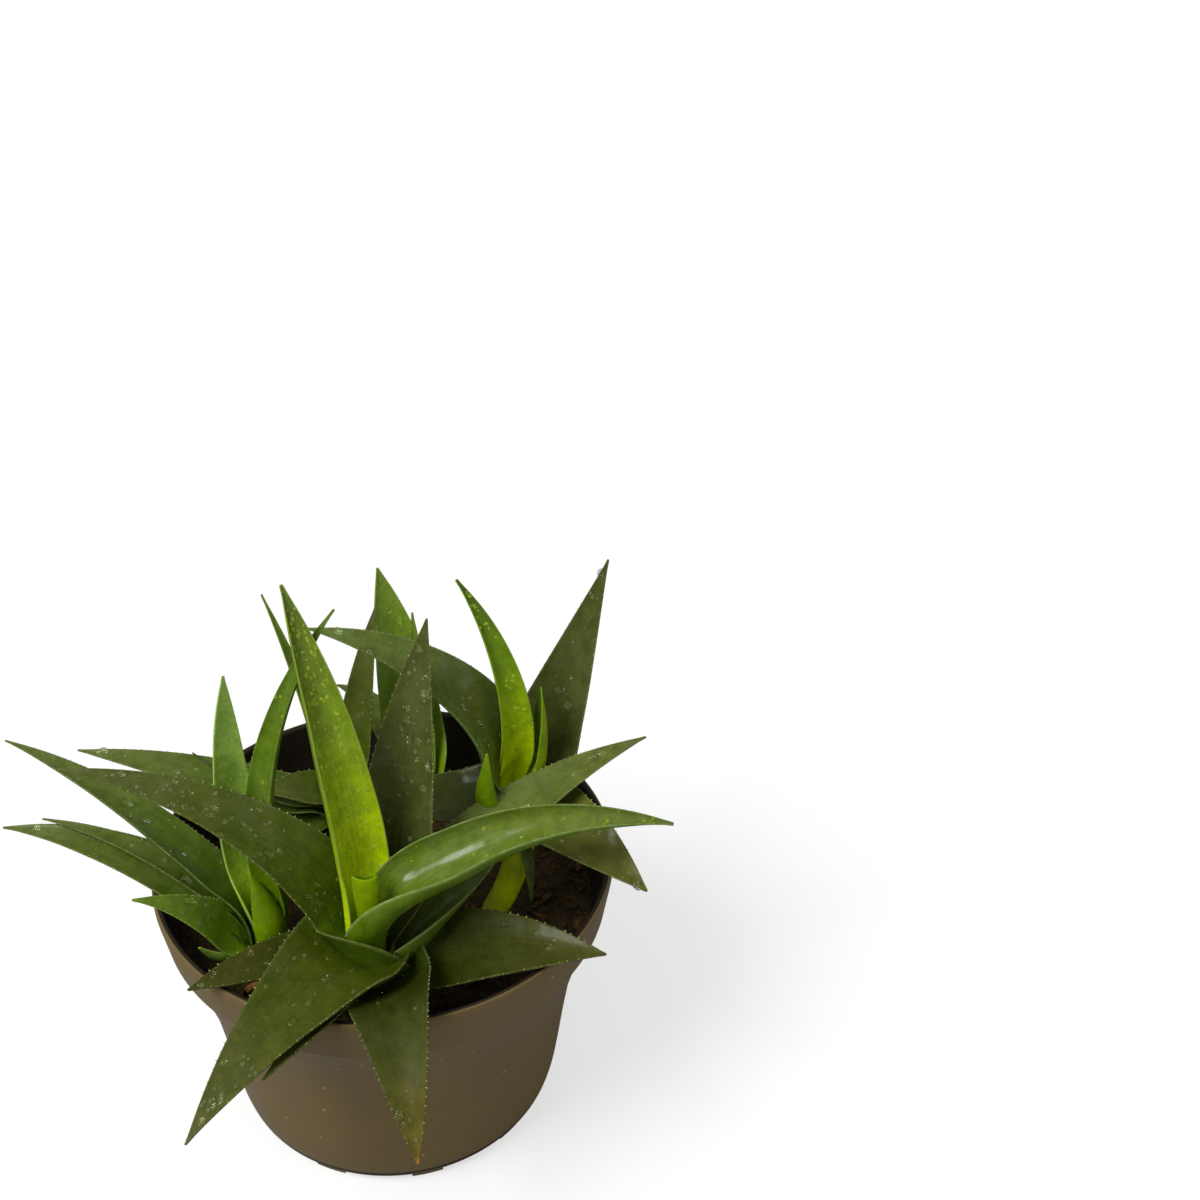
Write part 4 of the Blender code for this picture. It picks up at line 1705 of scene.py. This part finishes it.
@dataclass(frozen=True)
class StemSkin:
    """The finish of a stem: yellow-green, brightened past its own lime with a painted glow of light through
    its flesh, with a brown stain down by the soil.

    Colours are 0 to 255 screen values, and heights are in metres above the table.
    """

    name: str = "stem_skin"
    # Brightened past the stem's own lime: painted glow of light through its flesh.
    green: Colour = (214, 236, 0)
    pale: Colour = (184, 200, 34)
    brown: Colour = (94, 72, 30)
    stain_full: float = 0.077
    stain_end: float = 0.086

    def build(self) -> bpy.types.Material:
        """Make the material.

        Returns:
            The material.
        """
        material, bench, shader = new_material(self.name)
        place = bench.place()
        share = bench.spread(bench.noise(place, 120, 3), 0.35, 0.68, 0, 1)
        colour = bench.mix(share, srgb(*self.green), srgb(*self.pale))
        split = bench.node("ShaderNodeSeparateXYZ")
        bench.join(place, split.inputs[0])
        low = bench.spread(split.outputs["Z"], self.stain_full, self.stain_end, 0.75, 0)
        stained = bench.times(low, bench.spread(bench.noise(place, 320, 3), 0.3, 0.6, 0, 1))
        bench.join(bench.mix(stained, colour, srgb(*self.brown)), shader.inputs["Base Color"])
        bench.join(bench.spread(share, 0, 1, 0.34, 0.5), shader.inputs["Roughness"])
        bench.bump(shader, bench.noise(place, 260, 3), 0.4, 0.0004)
        set_inputs(shader, {"Specular IOR Level": 0.2} | flesh_glow(0.1))
        return material


@dataclass(frozen=True)
class Corner:
    """One corner of the pot's section, in millimetres from the axis and above the table, and its rounding."""

    radius: float
    height: float
    rounding: float = 0.0


def rounded_section(corners: Sequence[Corner], steps: int = 4) -> list[tuple[float, float]]:
    """Round off the corners of a section.

    Args:
        corners: The section's corners in order, the first and the last of them on the pot's axis.
        steps: How many pieces each rounding has.

    Returns:
        Radii and heights.
    """
    points = []
    for number, corner in enumerate(corners):
        here = Vector((corner.radius, corner.height))
        if not corner.rounding:
            points.append((here.x, here.y))
            continue
        before = Vector((corners[number - 1].radius, corners[number - 1].height))
        after = Vector((corners[number + 1].radius, corners[number + 1].height))
        start = here + (before - here).normalized() * min(corner.rounding, (before - here).length / 2)
        end = here + (after - here).normalized() * min(corner.rounding, (after - here).length / 2)
        for step in range(steps + 1):
            share = step / steps
            point = start.lerp(here, share).lerp(here.lerp(end, share), share)
            points.append((point.x, point.y))
    return points


@dataclass
class Pot:
    """A moulded nursery pot: a tapered wall, a plain collar, pads underneath and drain holes.

    Sizes are in millimetres and angles in degrees. The body is the outer face's height and radius at each
    bend, from the foot up to the collar.
    """

    height: float = 100.0
    rim_radius: float = 75.0
    wall: float = 1.6
    body: tuple[tuple[float, float], ...] = (
        (4, 54.9),
        (10, 56.4),
        (20, 57.7),
        (36, 59.6),
        (52, 61.9),
        (66, 65.5),
        (76, 69.3),
        (82.4, 71.9),
    )
    pad_count: int = 10
    first_pad: float = -83.0
    pad_width: float = 9.0
    pad_outer: float = 53.0
    pad_inner: float = 47.5
    pad_height: float = 2.0
    drain_count: int = 8
    drain_radius: float = 4.0
    drain_ring: float = 34.0
    steps: int = 160
    floor_top: float = 5.0
    floor_under: float = 3.0
    button_radius: float = 10.0
    collar_bottom: float = 83.0
    easy_bend: float = 4.0
    smooth_angle: float = 32.0

    def build(self, outside: bpy.types.Material, inside: bpy.types.Material) -> bpy.types.Object:
        """Make the pot.

        Args:
            outside: The finish of the wall's outer face, the rim and the underside.
            inside: The finish of the inner face, drawn darker: painted shade in the pot's hollow, with some
                soil staining.

        Returns:
            The finished piece.
        """
        item = self._turned()
        self._cut_away(item, self._pad_gaps(), "pad_gaps")
        self._cut_away(item, self._drains(), "drains")
        dress(item, [outside, inside])
        for face in item.data.polygons:
            face.material_index = int(self._is_inside(face.center / MM, face.normal))
        activate(item)
        bpy.ops.object.shade_smooth_by_angle(angle=math.radians(self.smooth_angle))
        return item

    def _is_inside(self, centre: Vector, normal: Vector) -> bool:
        """Tell whether a face belongs to the pot's inner wall, its floor or the rim's inner half, which take
        the darker inside finish of painted shade.

        Args:
            centre: The face's middle, in millimetres.
            normal: The way it faces.

        Returns:
            True for a face of the inside.
        """
        reach = math.hypot(centre.x, centre.y)
        facing_in = normal.x * centre.x + normal.y * centre.y < 0
        inner = centre.z > self.floor_top - 0.5 and (facing_in or centre.z < self.floor_top + 1)
        # The rim's inner half takes the inside finish and its painted shade too.
        inner = inner or (centre.z > self.height - 0.7 and reach < self.rim_radius - 0.9)
        return inner and reach > 1

    def _section(self) -> list[tuple[float, float]]:
        """The pot's section, from the middle of its floor up the inner wall and down the outer one.

        Returns:
            Radii and heights, in millimetres.
        """
        rim, top, bend = self.rim_radius, self.height, self.easy_bend
        foot_height, foot_radius = self.body[0]
        inner = [(radius - self.wall, height) for height, radius in self.body[1:]]
        inner[-1] = (rim - 4.2, top - 15)
        corners = [
            Corner(0, self.floor_top),
            Corner(foot_radius - self.wall, self.floor_top, 3),
            *(Corner(radius, height, bend) for radius, height in inner),
            Corner(rim - 2.4, top - 0.6),
            Corner(rim - 1.9, top, 0.4),
            Corner(rim - 0.2, top, 0.7),
            Corner(rim - 0.1, top - 3, 0.8),
            Corner(rim - 2.2, self.collar_bottom + 0.5, 0.3),
            Corner(rim - 2.6, self.collar_bottom, 0.2),
            *(Corner(radius, height, bend) for height, radius in reversed(self.body[1:])),
            Corner(foot_radius, foot_height, 2),
            Corner(self.pad_outer + 0.8, self.pad_height + 0.4, 0.5),
            Corner(self.pad_outer, self.pad_height + 0.2, 0.2),
            Corner(self.pad_outer, 0, 0.5),
            Corner(self.pad_inner, 0, 0.5),
            Corner(self.pad_inner - 0.6, self.floor_under, 0.5),
            Corner(self.button_radius, self.floor_under, 0.5),
            Corner(self.button_radius - 1, 0, 0.4),
            Corner(0, 0),
        ]
        return rounded_section(corners)

    def _turned(self) -> bpy.types.Object:
        """Draw the section as a chain of edges and spin it round the axis.

        Returns:
            The pot, without its drain holes and the gaps between its pads.
        """
        section = self._section()
        deselect_all()
        bpy.ops.mesh.primitive_plane_add(size=MM)
        item = take_primitive("nursery_pot")
        edit_all()
        bpy.ops.mesh.merge(type="CENTER")
        bpy.ops.transform.translate(value=(section[0][0] * MM, 0, section[0][1] * MM))
        for before, after in zip(section, section[1:]):
            travel = ((after[0] - before[0]) * MM, 0, (after[1] - before[1]) * MM)
            bpy.ops.mesh.extrude_region_move(TRANSFORM_OT_translate={"value": travel})
        bpy.ops.mesh.select_all(action="SELECT")
        bpy.ops.mesh.spin(steps=self.steps, angle=2 * math.pi, center=(0, 0, 0), axis=(0, 0, 1))
        bpy.ops.mesh.select_all(action="SELECT")
        bpy.ops.mesh.remove_doubles(threshold=0.01 * MM)
        leave_edit(turn_outwards=True)
        return item

    def _pad_gaps(self) -> bpy.types.Object:
        """Make the blocks that cut the ring under the pot into pads.

        Returns:
            The blocks, as one object.
        """
        middle = (self.pad_outer + self.pad_inner) / 2
        slot = 2 * math.pi * middle / self.pad_count - self.pad_width
        scale = (16 * MM, slot * MM, 2 * self.pad_height * MM)
        cutters = []
        for number in range(self.pad_count):
            angle = math.radians(self.first_pad + (number + 0.5) * 360 / self.pad_count)
            place = (middle * math.cos(angle) * MM, middle * math.sin(angle) * MM, 0)
            deselect_all()
            bpy.ops.mesh.primitive_cube_add(size=1, location=place, rotation=(0, 0, angle), scale=scale)
            cutters.append(take_primitive(f"pad_gap_{number}"))
        return self._joined(cutters)

    def _drains(self) -> bpy.types.Object:
        """Make the plugs that cut the drain holes.

        Returns:
            The plugs, as one object.
        """
        cutters = []
        for number in range(self.drain_count):
            angle = 2 * math.pi * (number + 0.5) / self.drain_count
            x, y = self.drain_ring * math.cos(angle), self.drain_ring * math.sin(angle)
            place = (x * MM, y * MM, (self.floor_under + self.floor_top) / 2 * MM)
            deselect_all()
            bpy.ops.mesh.primitive_cylinder_add(
                vertices=32, radius=self.drain_radius * MM, depth=6 * MM, location=place
            )
            cutters.append(take_primitive(f"drain_{number}"))
        return self._joined(cutters)

    def _joined(self, items: list[bpy.types.Object]) -> bpy.types.Object:
        """Join objects into one.

        Args:
            items: The objects.

        Returns:
            The first of them, which holds them all.
        """
        deselect_all()
        for item in items:
            settle(item)
            item.select_set(True)
        bpy.context.view_layer.objects.active = items[0]
        bpy.ops.object.join()
        return items[0]

    def _cut_away(self, item: bpy.types.Object, cutter: bpy.types.Object, name: str) -> None:
        """Take a cutter's shape out of an object, and remove the cutter.

        Args:
            item: The object.
            cutter: The cutter.
            name: The modifier's name.
        """
        cut = item.modifiers.new(name, "BOOLEAN")
        cut.operation = "DIFFERENCE"
        cut.solver = "EXACT"
        cut.object = cutter
        apply_modifiers(item)
        remove_object(cutter)

    def inner_radius(self, height: float) -> float:
        """The radius of the wall's inner face at a height.

        Args:
            height: The height above the table, in millimetres.

        Returns:
            The radius, in millimetres.
        """
        heights = [place for place, _ in self.body]
        radii = [radius for _, radius in self.body]
        return float(np.interp(height, heights, radii)) - self.wall


@dataclass
class Soil:
    """Potting mix: a lumpy bed that fills the pot, with loose crumbs, clods and chips of bark on it.

    Sizes are in millimetres and the tilt is in radians.
    """

    pot: Pot
    level: float = 78.0
    rings: int = 44
    sides: int = 132
    lump_height: float = 1.5
    clod_height: float = 1.6
    lump_length: float = 15.0
    clod_length: float = 4.6
    grain_height: float = 0.7
    grain_length: float = 1.9
    skirt: tuple[float, ...] = (60.0, 40.0, 20.0, 8.0, 5.2)
    crumbs: int = 900
    clods: int = 70
    clod_sizes: tuple[float, float] = (1.6, 3.0)
    crumb_sizes: tuple[float, float] = (0.35, 1.1)
    crumb_clearance: float = 1.5
    lump_shapes: int = 5
    lump_width: float = 0.8
    lump_squash: float = 0.7
    lump_roughness: float = 0.45
    chips: int = 26
    chip_sizes: tuple[float, float] = (3, 8)
    chip_clearance: float = 4.0
    chip_scale: Measures = (1, 0.22, 0.12)
    chip_tilt: float = 0.35

    def build(self) -> list[bpy.types.Object]:
        """Make the bed and what lies on it.

        Returns:
            The pieces.
        """
        bed = self._bed()
        dress(bed, [Mix.PEAT.value.build()])
        crumbs = self._crumbs(np.random.default_rng(SEED))
        dress(crumbs, [Mix.CRUMB.value.build()])
        chips = self._chips(np.random.default_rng(SEED + 1))
        dress(chips, [Mix.BARK.value.build()])
        for piece in (bed, crumbs, chips):
            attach(piece, BODY)
            LOG.info("soil %s: %d faces", piece.name, len(piece.data.polygons))
        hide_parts("soil")
        return [bed, crumbs, chips]

    def surface_height(self, x: float, y: float) -> float:
        """The bed's height at a place.

        Args:
            x: The place's x, in millimetres.
            y: The place's y, in millimetres.

        Returns:
            The height above the table, in millimetres.
        """
        lump = noise.noise(Vector((x / self.lump_length, y / self.lump_length, 3.1))) * self.lump_height
        clod = noise.noise(Vector((x / self.clod_length, y / self.clod_length, 8.2)))
        grain = noise.noise(Vector((x / self.grain_length, y / self.grain_length, 1.7)))
        return self.level + lump + self.clod_height * abs(clod) ** 0.8 + self.grain_height * grain

    def _bed(self) -> bpy.types.Object:
        """Make the bed itself: rings drawn in from the wall, and a skirt down to the pot's floor.

        Returns:
            The bed.
        """
        edge = self.pot.inner_radius(self.level) + 0.4
        deselect_all()
        place = (0, 0, self.level * MM)
        bpy.ops.mesh.primitive_circle_add(vertices=self.sides, radius=edge * MM, location=place)
        item = take_primitive("soil_bed")
        settle(item)
        edit_all()
        for ring in range(self.rings - 1, 0, -1):
            shrink = ring / (ring + 1)
            extrude(0)
            bpy.ops.transform.resize(value=(shrink, shrink, 1), center_override=(0, 0, 0))
        bpy.ops.mesh.edge_face_add()
        select_points(item, lambda place: math.hypot(place.x, place.y) > (edge - 0.2) * MM)
        radius = edge
        for height in self.skirt:
            shrink = (self.pot.inner_radius(height) - 0.2) / radius
            radius *= shrink
            extrude(0)
            bpy.ops.transform.resize(value=(shrink, shrink, 1), center_override=(0, 0, 0))
            drop = self._selected_height(item) - height * MM
            bpy.ops.transform.translate(value=(0, 0, -drop))
        bpy.ops.mesh.edge_face_add()
        leave_edit(turn_outwards=True)
        points = vertex_array(item.data)
        for point in points:
            if point[2] > (self.level - 1) * MM:
                point[2] = self.surface_height(point[0] / MM, point[1] / MM) * MM
        set_vertices(item.data, points)
        item.data.shade_smooth()
        return item

    def _selected_height(self, item: bpy.types.Object) -> float:
        """The mean height of the selected points of an object in edit mode.

        Args:
            item: The object.

        Returns:
            The height, in metres.
        """
        item.update_from_editmode()
        heights = [vertex.co.z for vertex in item.data.vertices if vertex.select]
        return sum(heights) / len(heights)

    def _lump(self, name: str, seed: float) -> Shape:
        """Make a rough lump, one unit in radius.

        Args:
            name: Its name.
            seed: What makes it differ from other lumps.

        Returns:
            Its shape.
        """
        deselect_all()
        bpy.ops.mesh.primitive_ico_sphere_add(subdivisions=1, radius=1)
        item = take_primitive(name)
        edit_all()
        bpy.ops.transform.resize(value=(1, self.lump_width, self.lump_squash))
        leave_edit()
        points = vertex_array(item.data)
        for point in points:
            point *= 1 + self.lump_roughness * noise.noise(Vector(point) * 1.7 + Vector((seed, 0, 0)))
        set_vertices(item.data, points)
        return shape_of(item)

    def _crumbs(self, rng: np.random.Generator) -> bpy.types.Object:
        """Strew loose crumbs and bigger clods.

        Args:
            rng: What places them.

        Returns:
            The crumbs and clods, as one object.
        """
        lumps = [self._lump(f"lump_{number}", number * 5.3) for number in range(self.lump_shapes)]
        smallest, growth = self.crumb_sizes
        scatter = Scatter()
        for number in range(self.crumbs + self.clods):
            x, y = self._spot(rng, self.crumb_clearance)
            is_clod = number < self.clods
            size = rng.uniform(*self.clod_sizes) if is_clod else smallest + growth * rng.random() ** 2.2
            turn = Matrix.Rotation(rng.uniform(0, 6.28), 4, Vector(rng.normal(size=3)).normalized())
            place = Vector((x, y, self.surface_height(x, y) + size * 0.25)) * MM
            placing = Matrix.Translation(place) @ turn @ Matrix.Scale(size * MM, 4)
            scatter.add(lumps[number % len(lumps)], placing)
        return scatter.build("soil_crumbs", smooth=False)

    def _spot(self, rng: np.random.Generator, clearance: float) -> tuple[float, float]:
        """Draw a place on the bed that keeps clear of the wall.

        Args:
            rng: What places it.
            clearance: How far it stays from the wall.

        Returns:
            Its x and y.
        """
        reach = (self.pot.inner_radius(self.level) - clearance) * math.sqrt(rng.random())
        angle = rng.uniform(0, 2 * math.pi)
        return reach * math.cos(angle), reach * math.sin(angle)

    def _chips(self, rng: np.random.Generator) -> bpy.types.Object:
        """Strew slivers of bark.

        Args:
            rng: What places them.

        Returns:
            The slivers, as one object.
        """
        deselect_all()
        bpy.ops.mesh.primitive_cube_add(size=1, scale=self.chip_scale)
        item = take_primitive("chip_pattern")
        settle(item)
        edit_all()
        bpy.ops.mesh.subdivide(number_cuts=2, smoothness=0.4)
        leave_edit()
        points = vertex_array(item.data)
        for point in points:
            point[1] *= 1 - 1.2 * point[0] * point[0]
            point[2] += 0.12 * math.sin(3 * point[0]) + 0.05 * noise.noise(Vector(point) * 6)
        set_vertices(item.data, points)
        chip = shape_of(item)
        scatter = Scatter()
        for _ in range(self.chips):
            x, y = self._spot(rng, self.chip_clearance)
            size = rng.uniform(*self.chip_sizes)
            turn = Matrix.Rotation(rng.uniform(0, 6.28), 4, "Z")
            turn = turn @ Matrix.Rotation(rng.uniform(-self.chip_tilt, self.chip_tilt), 4, "Y")
            place = Vector((x, y, self.surface_height(x, y) + 0.5)) * MM
            scatter.add(chip, Matrix.Translation(place) @ turn @ Matrix.Scale(size * MM, 4))
        return scatter.build("bark_chips", smooth=False)


@dataclass(frozen=True)
class Softbox:
    """An area light: its place and what it points at, in metres, with its size and power."""

    name: str
    place: Measures
    target: Measures
    size: float
    power: float

    def build(self) -> None:
        """Hang the light."""
        lamp = bpy.data.lights.new(self.name, "AREA")
        lamp.shape = "DISK"
        lamp.size = self.size
        lamp.energy = self.power
        item = bpy.data.objects.new(self.name, lamp)
        item.location = self.place
        aim = Vector(self.target) - Vector(self.place)
        item.rotation_euler = aim.to_track_quat("-Z", "Y").to_euler()
        bpy.context.scene.collection.objects.link(item)


@dataclass
class Studio:
    """The pale floor, the plain light and the camera. Lengths are in metres and angles in degrees."""

    camera_place: Measures = (0.0, -0.406, 0.474)
    heading: float = 9.7
    pitch: float = 34.3
    roll: float = 1.4
    lens: float = 49.5
    sensor_width: float = 36.0
    nearest: float = 0.01
    ambient: float = 0.4
    floor_size: float = 8.0
    floor_grey: float = 0.45
    glow_near: float = 0.62
    glow_range: tuple[float, float] = (0.35, 1.3)
    lamps: tuple[Softbox, ...] = (
        Softbox("key_light", (-1.5, -0.9, 2.3), (0, 0, 0.1), 1.5, 62.0),
        Softbox("fill_light", (1.6, -1.4, 1.2), (0, 0, 0.1), 1.5, 4.0),
    )

    def build(self) -> None:
        """Set up the studio."""
        self._floor()
        self._world()
        for lamp in self.lamps:
            lamp.build()
        self._camera()
        bpy.context.scene.view_settings.view_transform = "Standard"

    def _floor(self) -> None:
        """A wide, pale floor that keeps the plant's shadow and turns white to the eye further out."""
        deselect_all()
        bpy.ops.mesh.primitive_plane_add(size=self.floor_size)
        floor = take_primitive("studio_floor")
        settle(floor)
        material, bench, shader = new_material("studio_floor")
        grey = (self.floor_grey, self.floor_grey, self.floor_grey, 1)
        set_inputs(shader, {"Base Color": grey, "Roughness": 0.9, "Specular IOR Level": 0.1})
        set_inputs(shader, {"Emission Color": (1, 1, 1, 1)})
        path = bench.node("ShaderNodeLightPath")
        reach = bench.node("ShaderNodeVectorMath", operation="LENGTH")
        bench.join(bench.place(), reach.inputs[0])
        glow = bench.spread(reach.outputs["Value"], *self.glow_range, self.glow_near, 1.0)
        bench.join(bench.times(path.outputs["Is Camera Ray"], glow), shader.inputs["Emission Strength"])
        dress(floor, [material])

    def _world(self) -> None:
        """An even, pale surround, white to the eye."""
        world = bpy.data.worlds.new("studio")
        world.use_nodes = True
        bpy.context.scene.world = world
        bench = Bench(world.node_tree)
        back = world.node_tree.nodes["Background"]
        path = bench.node("ShaderNodeLightPath")
        set_inputs(back, {"Color": (1, 1, 1, 1)})
        strength = bench.spread(path.outputs["Is Camera Ray"], 0, 1, self.ambient, 1.0)
        bench.join(strength, back.inputs["Strength"])

    def _camera(self) -> None:
        """Stand the camera in front of the plant, looking down at it."""
        heading, pitch, roll = (math.radians(angle) for angle in (self.heading, self.pitch, self.roll))
        level = math.cos(pitch)
        ahead = Vector((math.sin(heading) * level, math.cos(heading) * level, -math.sin(pitch)))
        right = Vector((math.cos(heading), -math.sin(heading), 0))
        upward = right.cross(ahead)
        turned_right = right * math.cos(roll) + upward * math.sin(roll)
        turned_up = upward * math.cos(roll) - right * math.sin(roll)
        camera = bpy.data.cameras.new("camera")
        camera.lens = self.lens
        camera.sensor_width = self.sensor_width
        camera.clip_start = self.nearest
        item = bpy.data.objects.new("camera", camera)
        axes = Matrix((turned_right, turned_up, -ahead)).transposed().to_4x4()
        item.matrix_world = Matrix.Translation(self.camera_place) @ axes
        bpy.context.scene.collection.objects.link(item)
        bpy.context.scene.camera = item


OUTSIDE = Plastic("pot_outside", (103, 86, 50), (123, 105, 64), 0.42, 0.4)
# The inside is the same plastic drawn darker: painted shade in the pot's hollow, with some soil staining.
INSIDE_SHADE = Plastic("pot_inside_shade", (34, 29, 20), (50, 43, 30), 0.55, 0.5)


def main() -> None:
    """Build the finished plant in its studio, sub-assembly by sub-assembly."""
    logging.basicConfig(level=logging.INFO, format="%(message)s")
    Studio().build()
    grime = grime_group()
    pot = Pot()
    vessel = pot.build(OUTSIDE.build(grime), INSIDE_SHADE.build(grime))
    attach(vessel, BODY)
    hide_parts("pot")
    LOG.info("pot: %d faces", len(vessel.data.polygons))
    Soil(pot).build()
    stem_skin = StemSkin().build()
    for line in StemLine:
        shoot = Stem(line, head_radius=Stem.THICK_HEAD) if line is StemLine.RIGHT else Stem(line)
        stem = shoot.build(stem_skin)
        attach(stem, BODY)
        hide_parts(f"stem_{line.name.lower()}")
        LOG.info("stem %s: %d faces", line.name.lower(), len(stem.data.polygons))
    pieces = Foliage(LEAVES).build()
    LOG.info("foliage: %d pieces", len(pieces))


if __name__ == "__main__":
    main()
